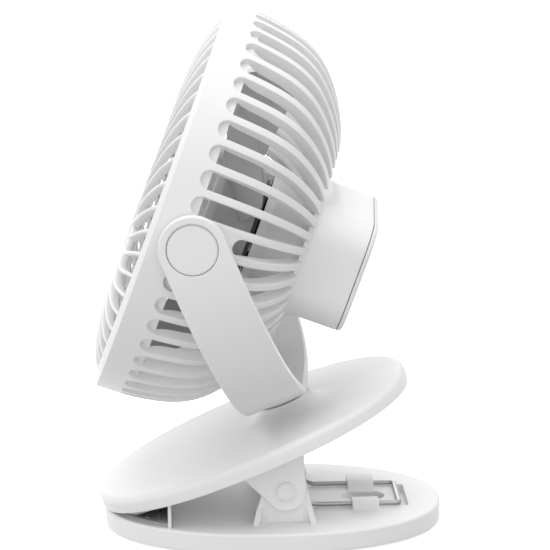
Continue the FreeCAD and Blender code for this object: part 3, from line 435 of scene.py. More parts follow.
SWITCH = finish("switch_black", grey(0.04), grey(0.03), 0.5, 1800.0, 0.04)
LENS = finish("lamp_lens", grey(0.78), grey(0.72), 0.12, 2000.0, 0.01, specular=0.6)
BUTTON = finish("button_moulding", grey(0.82), grey(0.79), 0.36, 1500.0, 0.02)


# ---- lower jaw -------------------------------------------------

def gusset(front, lean):
    """A buttress on the lug's outer face, leaning towards the lug's middle."""
    wall, tip, foot = -LUG_OUT + 0.2, -LUG_OUT - GUSSET_REACH, LOWER_TOP - LUG_SUNK
    rings = []
    for x in (front, front + GUSSET_WIDE):
        rings.append([Vector((x, wall, foot)), Vector((x, tip, foot)), Vector((x, tip, LOWER_TOP + 0.5)),
                      Vector((x + lean * GUSSET_LEAN, wall, LOWER_TOP + GUSSET_RISE))])
    return soften(loft(rings), 0.25)


def hinge_lug():
    """The hinge lug on the -Y side: a bracket with a round top, its raised panel and two gussets."""
    foot = [(x, LOWER_TOP - LUG_SUNK) for x in LUG_FOOT]
    top = arc((LUG_MIDDLE, hinge.z), LUG_TOP_R, 0, 180, 20)
    bracket = prism(foot + top, -LUG_OUT, -LUG_IN, 0.5)
    panel = block((PANEL_FRONT, -LUG_OUT - PANEL_PROUD, LOWER_TOP + PANEL_PROUD),
                  (PANEL_REAR, -LUG_OUT + 0.5, hinge.z - 1), 0.25)
    gussets = [gusset(LUG_FOOT[0] + 0.1, 1.0), gusset(LUG_FOOT[1] - GUSSET_WIDE - 0.1, -1.0)]
    return joined([bracket, panel] + gussets)


def spring_strap():
    """One strap over the spring's leg on the -Y side, sloping down to the recess."""
    wall, shoulder, knee, inside = 21.6, 14.2, 11.5, 6.4
    top, foot, corner = LOOP_Z + WIRE_R + 1.3, LOWER_TOP - 0.5, 0.6
    section = [(wall, foot), (wall, top - corner), (wall - corner, top), (shoulder, top - 0.1),
               (knee, top - 0.8), (inside, foot)]
    rings = [[Vector((HOOK_X + x, -y, z)) for y, z in section] for x in (-HOOK_HALF, HOOK_HALF)]
    return soften(loft(rings), 0.3)


def base_shell():
    """The lower jaw: an oval plate with a recess and the loop's pocket, the lugs and the spring straps."""
    seat = FOOT_INSET - 0.2
    profile = [(seat, FOOT_THICK), (seat, FOOT_PROUD), (0.9, FOOT_PROUD), (0.3, FOOT_PROUD + 0.25),
               (0.0, FOOT_PROUD + 0.9)]
    profile += [(i, LOWER_TOP - d) for i, d in edge_round(LOWER_ROUND)]
    plate = loft([jaw_ring(i, z) for i, z in profile + [(2.2, LOWER_TOP)]])
    floor, mouth, corner = LOWER_TOP - RECESS_DEPTH, LOWER_TOP + 1, 0.5
    recess = revolve([(0, floor), (RECESS_R - corner, floor), (RECESS_R, floor + corner), (RECESS_R, mouth),
                      (0, mouth)], "Z")
    recess.transform(Matrix.Translation((HOOK_X, 0, 0)))
    half, floor = LOOP_HALF + 0.4, LOWER_TOP - POCKET_DEPTH
    pocket = block((LOOP_END + 0.6, -half, floor), (LOOP_END + 3.4, half, LOWER_TOP + 2), 0.5)
    plate = cut(plate, [recess, pocket])
    return joined([plate] + both_sides(hinge_lug()) + both_sides(spring_strap()))


def foot_rubber():
    """The thin foot, with a shallow tread ring near its edge."""
    profile = [(0.0, FOOT_THICK), (0.0, 0.4), (0.4, 0.0), (3.0, 0.0), (3.3, 0.3), (4.4, 0.3), (4.7, 0.0)]
    return loft([jaw_ring(FOOT_INSET + i, z) for i, z in profile])


def front_part(bm, x):
    """The part of a mesh in front of a plane across X, with the cut closed."""
    geometry = bm.verts[:] + bm.edges[:] + bm.faces[:]
    bmesh.ops.bisect_plane(bm, geom=geometry, plane_co=(x, 0, 0), plane_no=(1, 0, 0), clear_outer=True)
    bmesh.ops.holes_fill(bm, edges=[e for e in bm.edges if e.is_boundary])
    clean(bm)
    return bm


def grip_half_width(x):
    """Half the width of the grip pads' oval at x."""
    along = min(abs(x / (JAW_LENGTH - GRIP_INSET)), 1)
    return (JAW_WIDTH - GRIP_INSET) * (1 - along ** JAW_SQUARENESS) ** (1 / JAW_SQUARENESS)


def lower_grip():
    """The rubber pad on the front of the lower jaw, with its ribs."""
    top = LOWER_TOP + GRIP_THICK
    profile = [(0.0, LOWER_TOP - 0.3), (0.0, top - 0.5), (0.5, top)]
    parts = [front_part(loft([jaw_ring(GRIP_INSET + i, z) for i, z in profile]), GRIP_END)]
    for k in range(GRIP_RIBS):
        x = GRIP_END - 4.5 - GRIP_RIB_PITCH * k
        reach = grip_half_width(x) - 3
        low, high = (x - GRIP_RIB_HALF, -reach, top - 0.3), (x + GRIP_RIB_HALF, reach, top + 0.25)
        parts.append(block(low, high, 0.25))
    return joined(parts)


def stop_wall():
    """The wall at the pad's rear end; its top follows the upper jaw's underside."""
    corner = UPPER.translation / MM
    slope = upper_x.z / upper_x.x
    reach = grip_half_width(GRIP_END)
    ends = (GRIP_END - STOP_THICK, GRIP_END)
    foot = [(x, LOWER_TOP - 0.2) for x in ends]
    top = [(x, corner.z + (x - corner.x) * slope - STOP_GAP) for x in ends[::-1]]
    return prism(foot + top, -reach, reach, 0.25)


def wire_loop():
    """The spring's middle: a loop lying on the lower jaw under the two straps."""
    side = [Vector((hinge.x, -COIL_START, hinge.z - COIL_R)),
            Vector((hinge.x + 6, -COIL_START + 1.5, LOOP_Z + 1.6)),
            Vector((HOOK_X - 18, -LOOP_HALF, LOOP_Z)),
            Vector((LOOP_END, -LOOP_HALF, LOOP_Z))]
    mirror = [Vector((p.x, -p.y, p.z)) for p in side[::-1]]
    return tube(rounded_corners(side + mirror, LOOP_BEND), WIRE_R)


def wire_coil():
    """The coil on the -Y side and its arm up to the upper jaw."""
    steps = 26 * COIL_TURNS
    turn = 2 * math.pi * (COIL_TURNS + 0.3)
    path = []
    for i in range(steps + 1):
        t = turn * i / steps
        y = -COIL_START - COIL_PITCH * (COIL_TURNS - 1) * i / steps
        path.append(Vector((hinge.x - COIL_R * math.sin(t), y, hinge.z - COIL_R * math.cos(t))))
    tip = UPPER @ ARM_TIP / MM
    leave = path[-1] + (path[-1] - path[-2]).normalized() * 2.0
    path += [leave, Vector((tip.x - 6, y, tip.z - 1.8)), Vector((tip.x, y, tip.z))]
    return tube(path, WIRE_R)


def hinge_pin():
    """The pin with a dished head at each end."""
    dish, edge, high = PIN_HEAD_H / 2, 0.25, PIN_HEAD_H
    head = [(0.0, dish), (PIN_HEAD_R - 4 * edge, dish), (PIN_HEAD_R - 3 * edge, high),
            (PIN_HEAD_R - edge, high), (PIN_HEAD_R, high - edge), (PIN_HEAD_R, 0.0), (PIN_R, 0.0)]
    face = EAR_OUT + 0.1
    profile = [(r, face + h) for r, h in head] + [(r, -face - h) for r, h in head[::-1]]
    pin = revolve(profile, "Y", 64)
    pin.transform(Matrix.Translation(hinge))
    return pin


def build_lower_jaw():
    body = "lower_jaw"
    piece("base_shell", base_shell(), BASE, body, SHELL, ["lower_jaw"])
    piece("foot_rubber", foot_rubber(), BASE, body, RUBBER, ["foot_pad"])
    piece("lower_grip", lower_grip(), BASE, body, RUBBER, ["lower_grip_pad"])
    piece("grip_stop_wall", stop_wall(), BASE, body, SHELL, ["lower_grip_pad"])
    piece("hinge_pin_turned", hinge_pin(), BASE, body, PIN, ["hinge_pin", "pin_retainer"], 50)
    piece("spring_loop", wire_loop(), BASE, body, WIRE, ["clip_spring"], 60)
    coil = wire_coil()
    far = copied(coil, Matrix.Scale(-1, 4, Y))
    for name, bm, side in (("spring_coil_near", coil, -1), ("spring_coil_far", far, 1)):
        made = piece(name, bm, BASE, None, WIRE, ["clip_spring"], 60)
        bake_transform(made)


# ---- upper jaw -------------------------------------------------

def in_upper(x, z):
    """A point of the standing fan, in the upper jaw's frame."""
    local = UPPER.inverted() @ (Vector((x, 0, z)) * MM)
    return local.x, local.z


def hinge_ear():
    """The ear on the -Y side that hangs over the lug and holds the pin."""
    round_end = [in_upper(x, z) for x, z in arc((hinge.x, hinge.z), EAR_ROUND, 0, -123, 24)]
    front, rear = EAR_WIDE
    outline = [(front, 2.5), (rear, 2.5), (rear, 0.0)] + round_end + [(front, 0.0)]
    return prism(outline, -EAR_OUT, -EAR_IN, 0.4)


def neck():
    """The neck with its wide concave flare onto the jaw."""
    flare = []
    steps, rise = 12, NECK_TOP - 0.6 - UPPER_THICK
    for i in range(steps + 1):
        t = math.pi / 2 * i / steps
        flare.append((NECK_R + NECK_FLARE * (1 - math.sin(t)), UPPER_THICK + rise * (1 - math.cos(t))))
    profile = [(0, 3.0), (NECK_R + NECK_FLARE, UPPER_THICK - 0.4)] + flare
    profile += [(NECK_R, NECK_TOP - 0.3), (NECK_R - 0.3, NECK_TOP), (0, NECK_TOP)]
    made = revolve(profile, "Z", 120)
    made.transform(Matrix.Translation((NECK_X, 0, 0)))
    return made


def clamp_shell():
    """The upper jaw: an oval plate with a groove under its edge, the neck and the ears."""
    under = [(5.6, 0.0), (5.4, 0.4), (4.6, 0.4), (4.4, 0.0)]
    side = [(0.5, 0.0), (0.15, 0.15), (0.0, 0.6)]
    side += [(i, UPPER_THICK - d) for i, d in edge_round(UPPER_ROUND, 8)]
    plate = loft([upper_ring(i, z) for i, z in under + side + [(4.2, UPPER_THICK)]])
    return joined([plate, neck()] + both_sides(hinge_ear()))


def upper_grip():
    """The bowed rubber pad under the front of the upper jaw, kept clear of the lower pad."""
    front, rear = -JAW_LENGTH + GRIP_INSET + 0.3, -JAW_LENGTH + UPPER_GRIP_LENGTH
    least = LOWER_TOP + GRIP_THICK + GRIP_GAP
    steps = 22
    rings = []
    for k in range(steps + 1):
        x = mix((front, rear), (k / steps) ** 1.6)
        bow = UPPER_GRIP_BOW - math.sqrt(UPPER_GRIP_BOW ** 2 - (x + JAW_LENGTH - 8) ** 2)
        low = min(-UPPER_GRIP_DEEP + bow, -0.15)
        height = (UPPER @ Vector((x, 0, low)) / MM).z
        if height < least:
            low = min(low + (least - height) / neck_axis.z, -0.12)
        half = grip_half_width(x)
        edge = min(0.4, half * 0.3)
        side = [(half, 0.2), (half, low + edge), (half - edge, low)]
        rings.append([Vector((x, -y, z)) for y, z in side] + [Vector((x, y, z)) for y, z in side[::-1]])
    return loft(rings)


def build_upper_jaw():
    body = "upper_jaw"
    piece("clamp_shell", clamp_shell(), UPPER, body, SHELL, ["upper_jaw"])
    piece("upper_grip", upper_grip(), UPPER, body, RUBBER, ["upper_grip_pad"])


# ---- yoke ------------------------------------------------------

def yoke_curve(t):
    c, s, n = math.cos(t), math.sin(t), YOKE_SQUARENESS
    return Vector((0, -math.copysign(YOKE_WIDTH * abs(c) ** (2 / n), c), -YOKE_DEPTH * abs(s) ** (2 / n)))


def strap_stations():
    """Along the strap: (point, way along, outward way, end angle); the end angle shapes the round tips."""
    tip_steps, steps, nearby = 12, 84, 1e-3
    ends = [math.pi / 2 * (1 - i / tip_steps) for i in range(tip_steps + 1)]
    stations = [(Y * -YOKE_WIDTH, Z, -Y, end) for end in ends]
    for i in range(1, steps):
        t = math.pi * i / steps
        back = (yoke_curve(t - nearby) - yoke_curve(t + nearby)).normalized()
        stations.append((yoke_curve(t), back, X.cross(back), 0.0))
    return stations + [(Y * YOKE_WIDTH, Z, Y, end) for end in ends[::-1]]


def strap_half(y):
    """Half the strap's width, narrower over the neck."""
    return mix((STRAP_WAIST, STRAP_HALF), ease(abs(y) / WAIST_REACH))


def strap():
    """The bent strap: a stadium outline swept along the yoke's curve, with rounded edges."""
    outer = edge_round(STRAP_ROUND, 4)
    inner = [(i, STRAP_THICK - d) for i, d in outer[::-1]]
    loop = [(1, i, d) for i, d in outer[::-1] + inner[::-1]] + [(-1, i, d) for i, d in inner + outer]
    rings = []
    for point, along, outward, end in strap_stations():
        ring = []
        for side, inset, deep in loop:
            half = strap_half(point.y) - inset
            place = point + along * half * math.sin(end) - outward * deep
            ring.append(place + X * side * half * math.cos(end))
        rings.append(ring)
    return loft(rings, caps=False)


def yoke_arms():
    """The strap with its two pivot recesses, the neck disc and the swivel shaft."""
    floor, lip, clear = YOKE_WIDTH - PIVOT_RECESS_DEPTH, PIVOT_RECESS_R + 0.55, YOKE_WIDTH + 5
    recess = [(0, floor), (PIVOT_RECESS_R, floor), (PIVOT_RECESS_R, YOKE_WIDTH - 0.35),
              (lip, YOKE_WIDTH + 0.2), (lip, clear), (0, clear)]
    arms = cut(strap(), [revolve([(r, side * y) for r, y in recess], "Y") for side in (-1, 1)])
    low, high, edge = -YOKE_DEPTH - DISC_LOW, -YOKE_DEPTH + DISC_HIGH, 0.35
    line = [(0, low), (NECK_R - edge, low), (NECK_R, low + edge), (NECK_R, high), (0, high)]
    disc = revolve(line, "Z", 120)
    return joined([arms, disc, rod(SHAFT_R, low - SHAFT_LENGTH, low + 1, "Z", 64)])


def pivot_cover(side):
    """The cover in an arm's recess: a very slightly domed disc."""
    face, floor = YOKE_WIDTH - 0.35, YOKE_WIDTH - PIVOT_RECESS_DEPTH + 0.02
    profile = [(0, face + 0.1), (4.0, face + 0.05), (PIVOT_CAP_R - 0.9, face - 0.05),
               (PIVOT_CAP_R - 0.3, face - 0.2), (PIVOT_CAP_R, face - 0.6), (PIVOT_CAP_R, floor), (0, floor)]
    return revolve([(r, side * y) for r, y in profile], "Y", 96)


def build_yoke():
    piece("yoke_arms", yoke_arms(), YOKE, "yoke", SHELL, ["yoke"])
    piece("pivot_cover_near", pivot_cover(-1), YOKE, "yoke", SHELL, ["pivot_cap_near"], 50)
    piece("pivot_cover_far", pivot_cover(1), YOKE, "yoke", SHELL, ["pivot_cap_far"], 50)


# ---- head: cage and housing ------------------------------------

def smooth_line(points, steps=10):
    """A Catmull-Rom curve through (radius, depth) points."""
    ends = [tuple(2 * a - b for a, b in zip(points[0], points[1]))] + list(points)
    ends.append(tuple(2 * a - b for a, b in zip(points[-1], points[-2])))
    line = []
    for four in zip(ends, ends[1:], ends[2:], ends[3:]):
        for k in range(steps):
            t = k / steps
            point = []
            for a, b, c, d in zip(*four):
                square, cube = 2 * a - 5 * b + 4 * c - d, 3 * b - a - 3 * c + d
                point.append(0.5 * (2 * b + (c - a) * t + square * t * t + cube * t ** 3))
            line.append(tuple(point))
    return line + [points[-1]]


class Meridian:
    """The cage's outer line, looked up by its length from the rim."""

    def __init__(self, points):
        self.line = smooth_line(points)
        self.at = [0.0]
        for a, b in zip(self.line, self.line[1:]):
            self.at.append(self.at[-1] + math.hypot(b[0] - a[0], b[1] - a[1]))
        self.length = self.at[-1]

    def sample(self, s):
        """(radius, depth, slope of radius, slope of depth) at a length."""
        s = min(max(s, 0.0), self.length)
        i = max(k for k in range(len(self.at) - 1) if self.at[k] <= s)
        step = self.at[i + 1] - self.at[i]
        t = (s - self.at[i]) / step
        a, b = self.line[i], self.line[i + 1]
        dr, dd = (b[0] - a[0]) / step, (b[1] - a[1]) / step
        return a[0] + (b[0] - a[0]) * t, a[1] + (b[1] - a[1]) * t, dr, dd

    def point(self, s, sideways, inwards, angle):
        """A point on the cage: a length from the rim, sideways along the hoop, inwards from the skin."""
        r, d, dr, dd = self.sample(s)
        turn = angle + sideways / r
        radius, depth = r - dd * inwards, d + dr * inwards
        return Vector((RIM_X + depth, -radius * math.sin(turn), radius * math.cos(turn)))


CAGE = Meridian(CAGE_LINE)


def rib_depth(s, start):
    """How deep a rib is, by its length from the rim: the band's wall, then soon the full rib."""
    rise = ease((s - start) / RIB_RISE)
    return mix((CAGE_WALL, RIB_DEPTH), rise) + (RIB_DEPTH_END - RIB_DEPTH) * s / CAGE.length * rise


def slot_start(turn):
    """Where a slot starts behind the rim: later where it meets the pad round a pivot."""
    past = (turn - 90) % 180
    away = math.radians(min(past, 180 - past)) * CAGE_LINE[0][0]
    if away >= PAD_R:
        return SLOT_START
    return max(SLOT_START, PAD_DEPTH + math.sqrt(PAD_R ** 2 - away ** 2))


def half_sector(bm, angle, side, start):
    """Half of one slot's sector: the rim band, then the rib beside the slot."""
    half_pitch = math.pi / RIBS
    half_slot = CAGE.sample(start + SLOT_END_R)[0] * half_pitch - RIB_HALF
    arc_steps, rear_steps, across = 7, 22, 3

    def skin_rows(off):
        """The slot's edge as (length, sideways), moved out of the slot by off, with the length on the
        rib's middle line that each point is joined to."""
        rows = [((s * start / SLOT_START, 0.0), s) for s in BAND_ROWS]
        for k in range(arc_steps + 1):
            t = math.pi / 2 * k / arc_steps
            edge = (start + half_slot - (half_slot + off) * math.cos(t), (half_slot + off) * math.sin(t))
            rows.append((edge, SLOT_START + SLOT_END_R * (1 - math.cos(t))))
        for k in range(1, rear_steps + 1):
            s = mix((start + half_slot, CAGE.length), k / rear_steps)
            middle = mix((SLOT_START + SLOT_END_R, CAGE.length), k / rear_steps)
            rows.append(((s, CAGE.sample(s)[0] * half_pitch - RIB_HALF + off), middle))
        return rows

    def row_points(edge, middle, inwards_share, drop):
        """From the slot's edge to the rib's middle line; only the edge is dropped."""
        points = []
        for k in range(across + 1):
            t = k / across
            at = mix((edge[0], middle), t)
            wide = mix((edge[1], CAGE.sample(middle)[0] * half_pitch), t)
            deep = mix((rib_depth(at, start), rib_depth(at, SLOT_START)), t) * inwards_share
            points.append(CAGE.point(at, side * wide, deep if k else deep + drop, angle))
        return points

    layers = []
    bevel = ((EDGE, 0.0, 0.0), (0.1, 0.0, 0.1), (0.0, 0.0, EDGE), (0.0, 1.0, -EDGE), (EDGE, 1.0, 0.0))
    for off, share, drop in bevel:
        layers.append([row_points(edge, middle, share, drop) for edge, middle in skin_rows(off)])
    outer = [new_ring(bm, row) for row in layers[0]]
    inner = [new_ring(bm, row) for row in layers[-1]]
    for a, b in zip(outer, outer[1:]):
        bridge(bm, a, b, False)
    for a, b in zip(inner, inner[1:]):
        bridge(bm, a[::-1], b[::-1], False)
    band = len(BAND_ROWS)
    edges = [[row[0] for row in outer[band:]]]
    for layer in layers[1:-1]:
        edges.append(new_ring(bm, [row[0] for row in layer[band:]]))
    edges.append([row[0] for row in inner[band:]])
    for a, b in zip(edges, edges[1:]):
        bridge(bm, a, b, False)
    bm.faces.new(outer[-1] + inner[-1][::-1] + [row[-1] for row in edges[-2:0:-1]])
    rim_half = side * CAGE.sample(0)[0] * half_pitch
    rim = [CAGE.point(0.0, rim_half * k / across, CAGE_WALL / 2, angle) - X * 0.5 for k in range(across + 1)]
    rim = new_ring(bm, rim)
    bridge(bm, outer[0], rim, False)
    bridge(bm, rim, inner[0], False)


def cage_shell():
    """The rim band and the ribs behind it, one sector per slot."""
    bm = bmesh.new()
    for i in range(RIBS):
        turn = (i + 0.5) * 360 / RIBS
        for side in (-1, 1):
            half_sector(bm, math.radians(turn), side, slot_start(turn))
    clean(bm, 2e-3)
    return bm


def turned(line, steps):
    """A closed section of (radius, depth) points turned about the fan's axis."""
    return revolve([(r, RIM_X + d) for r, d in line], "X", steps, closed=True)


def motor_seat():
    """The funnel between the ribs that carries the motor, with a lip where it meets the motor."""
    lip = SEAT_R - 2.2
    line = [(lip, SEAT_FRONT + 0.4), (lip, SEAT_FRONT), (SEAT_R, SEAT_FRONT),
            (SEAT_R + 0.6, SEAT_FRONT + 3.0), (SEAT_REAR_R - 2.4, FLARE_FRONT - 2.6),
            (SEAT_REAR_R + 0.6, FLARE_FRONT - 0.6), (FLARE_R, FLARE_FRONT),
            (FLARE_R - 3.0, FLARE_FRONT + 1.0), (SEAT_REAR_R - 5.0, FLARE_FRONT),
            (SEAT_R - 1.4, SEAT_FRONT + 3.4)]
    return turned(line, 144)


def back_plate():
    """The plate behind the motor that closes the cage."""
    front, rear = BACK_FRONT, BACK_REAR
    return turned([(BACK_BORE, front), (BACK_R, front), (BACK_R, rear), (BACK_BORE, rear)], 144)


def pivot_bosses():
    return both_sides(rod(BOSS_R, BOSS_IN, YOKE_WIDTH - STRAP_THICK - BOSS_GAP, "Y", 64))


def housing_outline(depth, inset=0.0, count=192):
    """A ring of the housing's rounded oblong, which flares to a circle towards the cage."""
    share = min(max((depth - FLARE_FRONT) / (FLARE_REAR - FLARE_FRONT), 0.0), 1.0)
    flare = (1 - share) ** FLARE_POWER
    points = []
    hy, hz, corner = HOUSE_Y - inset, HOUSE_Z - inset, HOUSE_CORNER - inset
    for i in range(count):
        t = 2 * math.pi * i / count
        c, s = abs(math.cos(t)), abs(math.sin(t))
        reach = min(hy / max(c, 1e-6), hz / max(s, 1e-6))
        cy, cz = hy - corner, hz - corner
        if reach * c > cy and reach * s > cz:
            dot = c * cy + s * cz
            reach = dot + math.sqrt(max(dot * dot - cy * cy - cz * cz + corner * corner, 0.0))
        reach += (FLARE_R - reach) * flare
        points.append(Vector((RIM_X + depth, reach * math.cos(t), reach * math.sin(t))))
    return points


def housing_shell():
    """The battery housing: flared at the cage, open at the rear, with its wall turned in."""
    steps = 12
    depths = [mix((FLARE_FRONT, FLARE_REAR), (k / steps) ** 1.3) for k in range(steps + 1)]
    line = [(d, 0.0) for d in depths + [69.0, 72.0, HOUSE_REAR - 0.25]]
    line += [(HOUSE_REAR, 0.25), (HOUSE_REAR, HOUSE_WALL), (HOUSE_REAR - 12.0, HOUSE_WALL)]
    return loft([housing_outline(depth, inset) for depth, inset in line], caps=False)


def rear_lid():
    """The housing's lid: gap line, rounded rear edge, and the holes for button, port and lamp."""
    front = HOUSE_REAR + CAP_GAP
    line = [(front - 1.6, 3.6), (front - 1.6, 2.2), (front, 2.2), (front, 0.2), (front + 0.2, 0.0)]
    line += [(CAP_REAR - d, i) for i, d in edge_round(1.7)] + [(CAP_REAR, 4.5)]
    lid = loft([housing_outline(depth, inset) for depth, inset in line])
    face, bore, mouth = RIM_X + CAP_REAR, BUTTON_R + 0.35, BUTTON_R + 0.7
    hole = revolve([(0, CUT_FROM), (bore, CUT_FROM), (bore, face - 0.3), (mouth, face + 0.05),
                    (mouth, CUT_TO), (0, CUT_TO)])
    hole.transform(Matrix.Translation((0, 0, BUTTON_Z)))
    port = arc((PORT_HALF, 0), PORT_R, -90, 90) + arc((-PORT_HALF, 0), PORT_R, 90, 270)
    slot = loft([[Vector((x, PORT_Y + y, BOARD_Z + z)) for y, z in port] for x in (CUT_FROM, CUT_TO)])
    lamp = rod(LENS_R, CUT_FROM, CUT_TO, "X", 32)
    lamp.transform(Matrix.Translation((0, LENS_Y, BOARD_Z)))
    hollow = loft([housing_outline(depth, 4.0) for depth in (front - 3.0, CAP_REAR - 1.8)])
    return cut(lid, [hollow, hole, slot, lamp])


# ---- head: grille ----------------------------------------------

DISH_LINE = smooth_line(DISH, 8)


def dish_height(radius):
    """How far the grille stands in front of the rim's plane."""
    for (r0, h0), (r1, h1) in zip(DISH_LINE, DISH_LINE[1:]):
        if r1 <= radius <= r0:
            return h0 + (h1 - h0) * (r0 - radius) / (r0 - r1)
    return DISH_LINE[0][1] if radius > DISH_LINE[0][0] else DISH_LINE[-1][1]


def grille_point(radius, angle, sideways, back):
    """A point by how far out, how far round, across the rib, and how far back from the dish."""
    depth = -dish_height(radius) + back
    return Vector((RIM_X + depth, -radius * math.sin(angle) - sideways * math.cos(angle),
                   radius * math.cos(angle) - sideways * math.sin(angle)))


def swirled_rib(outer, inner, swirl, half, steps):
    """One curved rib of the grille, with a rounded front."""
    section = [(-half, GRILLE_DEEP), (-half, 0.45), (-half * 0.55, 0.08), (0, 0.0), (half * 0.55, 0.08),
               (half, 0.45), (half, GRILLE_DEEP)]
    rings = []
    for k in range(steps + 1):
        share = k / steps
        radius = outer + (inner - outer) * share
        angle = math.radians(swirl) * share ** 1.2
        rings.append([grille_point(radius, angle, a, b) for a, b in section])
    return loft(rings)


def dish_ring(outer, inner, deep=GRILLE_DEEP, edge=0.35):
    """A ring on the grille's dish."""
    line = [(outer, edge), (outer - edge, 0.0), (inner + edge, 0.0), (inner, edge), (inner, deep),
            (outer, deep)]
    profile = [(r, RIM_X - dish_height(r) + b) for r, b in line]
    return revolve(profile, "X", 144, closed=True)


def grille_shell():
    """The front grille: outer and inner curved ribs, a ring between them, the hub and the rim."""
    ring_in, ring_out = GRILLE_RING
    rib = swirled_rib(GRILLE_RIB_END, ring_in + 1.0, GRILLE_SWIRL, GRILLE_RIB_HALF, 18)
    parts = [about(X, 360 / RIBS * i, rib) for i in range(RIBS)]
    rib.free()
    short = swirled_rib(ring_in + 1.0, GRILLE_HUB - 1.5, INNER_SWIRL, GRILLE_RIB_HALF, 7)
    parts += [about(X, 360 / INNER_RIBS * i + INNER_TURN, short) for i in range(INNER_RIBS)]
    short.free()
    parts.append(dish_ring(ring_out, ring_in))
    front, seat = RIM_X - dish_height(GRILLE_HUB), GRILLE_CAP_R + 0.25
    parts.append(revolve([(0, front + 1.2), (seat, front + 1.2), (seat, front + 0.2), (seat + 0.2, front),
                          (GRILLE_HUB - 0.4, front), (GRILLE_HUB, front + 0.4),
                          (GRILLE_HUB, front + GRILLE_DEEP), (0, front + GRILLE_DEEP)]))
    return joined(parts + [turned(GRILLE_RIM, 192)])


def grille_badge():
    """The plain round cap on the grille's hub."""
    front = RIM_X - dish_height(GRILLE_HUB) - 0.9
    rise = [(0, 0.0), (3.0, 0.05), (GRILLE_CAP_R - 1.2, 0.3), (GRILLE_CAP_R - 0.4, 0.6), (GRILLE_CAP_R, 1.1),
            (GRILLE_CAP_R, 2.0), (0, 2.0)]
    return revolve([(r, front + d) for r, d in rise])


# ---- impeller and button ---------------------------------------

def blade():
    """One thin twisted blade pointing up, with rounded edges and a curved chord."""
    rings = []
    chord_steps, rows, root = 12, 14, HUB_R - 1.0
    for k in range(rows + 1):
        t = k / rows
        radius = mix((root, TIP_R), t)
        half, thick = mix(BLADE_HALF, t ** 0.85), mix(BLADE_THICK, t)
        front, rear = mix(BLADE_FRONT, min(t * 2, 1) ** 0.7), mix(BLADE_REAR, t ** 0.8)
        ring = []
        for way in (1, -1):
            for i in range(chord_steps + 1):
                c = i / chord_steps if way > 0 else 1 - i / chord_steps
                slim = thick / 2 * min(min(c, 1 - c) * 9, 1.0) ** 0.5
                depth = mix((front, rear), c + BLADE_CAMBER * math.sin(math.pi * c)) + way * slim * 0.75
                turn = (half * (1 - 2 * c) - way * slim * 0.6) / radius
                ring.append(Vector((RIM_X + depth, radius * math.sin(turn), radius * math.cos(turn))))
        rings.append(ring)
    return loft(rings)


def fan_wheel():
    """The blades round a hub that is open to the rear."""
    one = blade()
    parts = [about(X, BLADE_REST + 360 / BLADES * i, one) for i in range(BLADES)]
    one.free()
    inside, floor, edge = HUB_R - HUB_WALL, HUB_FRONT + 3, 0.3
    profile = [(0, HUB_FRONT)] + [(HUB_R - i, HUB_FRONT + d) for i, d in edge_round(HUB_NOSE, 8)[::-1]]
    profile += [(HUB_R, HUB_REAR - edge), (HUB_R - edge, HUB_REAR), (inside, HUB_REAR), (inside, floor)]
    profile.append((0, floor))
    parts.append(revolve([(r, RIM_X + d) for r, d in profile], "X", 120))
    return joined(parts)


def button_cap():
    """The speed button: rounded edge, a shallow dish for the finger, and a skirt inside the lid."""
    face, skirt_r = RIM_X + CAP_REAR + BUTTON_PROUD, BUTTON_R + 0.9
    skirt, rear = face - 3.2, face - 4.2
    profile = [(0, face - 0.45), (2.0, face - 0.35), (BUTTON_R - 1.2, face - 0.05), (BUTTON_R - 0.6, face),
               (BUTTON_R - 0.15, face - 0.2), (BUTTON_R, face - 0.6), (BUTTON_R, skirt), (skirt_r, skirt),
               (skirt_r, rear), (0, rear)]
    made = revolve(profile, "X", 72)
    made.transform(Matrix.Translation((0, 0, BUTTON_Z)))
    return made


def build_head():
    body = "head"
    piece("cage_shell", cage_shell(), HEAD, body, SHELL, ["rear_cage"], 40)
    seat = joined([motor_seat(), back_plate()] + pivot_bosses())
    piece("motor_seat_cone", seat, HEAD, body, SEAT, ["rear_cage"])
    piece("housing_shell", housing_shell(), HEAD, body, SHELL, ["rear_housing"], 50)
    piece("rear_lid", rear_lid(), HEAD, body, SHELL, ["rear_cap"])
    piece("grille_shell", grille_shell(), HEAD, body, GRILLE, ["front_grille"], 45)
    piece("grille_badge", grille_badge(), HEAD, body, GRILLE, ["grille_cap"], 50)
    # the wheel wears the dark grey painted shade, not the blades' own white
    piece("fan_wheel", fan_wheel(), HEAD, "impeller", SHADED_BLADE, ["impeller"], 40)
    piece("button_cap", button_cap(), HEAD, "button", BUTTON, ["speed_button"], 50)


# ---- CAD nodes that stay ---------------------------------------

KEPT = {
    "swivel_bush": BUSH, "swivel_washer": STEEL, "swivel_screw": STEEL, "pivot_screws": STEEL,
    "pivot_washers": BUSH, "motor_base": BLACK, "stator": COPPER, "motor_bearings": STEEL,
    "motor_screws": STEEL, "rotor_can": BLACK, "rotor_magnet": MAGNET, "motor_shaft": STEEL,
    "battery_cell": SLEEVE, "battery_contacts": STEEL, "control_board": BOARD, "board_screws": STEEL,
    "usb_socket": STEEL, "tact_switch": SWITCH, "charge_lens": LENS,
}


def finish_kept_nodes():
    for name, kept in KEPT.items():
        node = frame["nodes"][name]
        if not node.material_slots:
            node.data.materials.append(kept)
        for slot in node.material_slots:
            slot.material = kept


# ---- studio ----------------------------------------------------

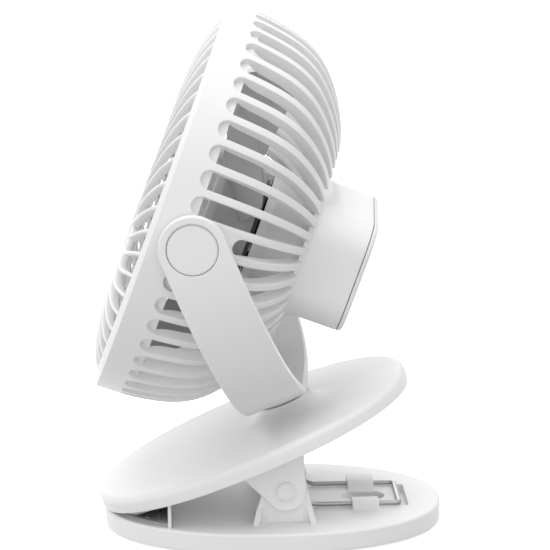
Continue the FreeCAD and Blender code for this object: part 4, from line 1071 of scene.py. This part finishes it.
def studio_floor():
    """A plain pale floor."""
    bm = bmesh.new()
    bmesh.ops.create_grid(bm, x_segments=1, y_segments=1, size=FLOOR_HALF)
    made = mesh_object("studio_floor", bm)
    paper = bpy.data.materials.new("studio_paper")
    paper.use_nodes = True
    shader = paper.node_tree.nodes["Principled BSDF"]
    shader.inputs["Base Color"].default_value = (0.97, 0.97, 0.97, 1)
    shader.inputs["Roughness"].default_value = 0.9
    shader.inputs["Specular IOR Level"].default_value = 0.1
    shader.inputs["Emission Color"].default_value = (1, 1, 1, 1)
    shader.inputs["Emission Strength"].default_value = FLOOR_GLOW
    made.data.materials.append(paper)
    made.visible_diffuse = False


def softbox(name, place, size, power):
    """A round area light that faces the middle of the fan."""
    data = bpy.data.lights.new(name, "AREA")
    data.shape, data.size, data.energy = "DISK", size, power
    made = bpy.data.objects.new(name, data)
    bpy.context.scene.collection.objects.link(made)
    made.location = place
    made.rotation_euler = (Vector(LIT_POINT) - Vector(place)).to_track_quat("-Z", "Y").to_euler()


def studio_light():
    """The softboxes, and air that is brighter towards one side."""
    for name, (place, size, power) in SOFTBOXES.items():
        softbox(name, place, size, power)
    world = bpy.data.worlds.new("studio_air")
    world.use_nodes = True
    sky = world.node_tree.nodes["Background"]
    sky.inputs["Color"].default_value = (1, 1, 1, 1)
    nodes, links = world.node_tree.nodes, world.node_tree.links
    place = nodes.new("ShaderNodeTexCoord")
    towards = nodes.new("ShaderNodeVectorMath")
    towards.operation = "DOT_PRODUCT"
    towards.inputs[1].default_value = SKY_BRIGHT_SIDE
    fade = nodes.new("ShaderNodeMapRange")
    fade.inputs["From Min"].default_value = -1.0
    fade.inputs["To Min"].default_value, fade.inputs["To Max"].default_value = SKY_LEVELS
    links.new(place.outputs["Generated"], towards.inputs[0])
    links.new(towards.outputs["Value"], fade.inputs["Value"])
    links.new(fade.outputs["Result"], sky.inputs["Strength"])
    bpy.context.scene.world = world


def camera():
    """The camera at the photograph's viewing angle: from the fan's left side and a little above."""
    level = math.cos(CAMERA_PITCH)
    ahead = Vector((math.sin(CAMERA_YAW) * level, math.cos(CAMERA_YAW) * level, -math.sin(CAMERA_PITCH)))
    right = Vector((math.cos(CAMERA_YAW), -math.sin(CAMERA_YAW), 0))
    turn = Matrix.Rotation(CAMERA_ROLL, 3, ahead)
    right, up = turn @ right, turn @ right.cross(ahead)
    data = bpy.data.cameras.new("camera")
    data.lens, data.sensor_width = CAMERA_LENS, 36.0
    made = bpy.data.objects.new("camera", data)
    bpy.context.scene.collection.objects.link(made)
    matrix = Matrix((right, up, -ahead)).transposed().to_4x4()
    matrix.translation = CAMERA_PLACE
    made.matrix_world = matrix
    bpy.context.scene.camera = made


build_lower_jaw()
build_upper_jaw()
build_yoke()
build_head()
finish_kept_nodes()
studio_floor()
studio_light()
camera()
bpy.context.scene.view_settings.view_transform = "Standard"
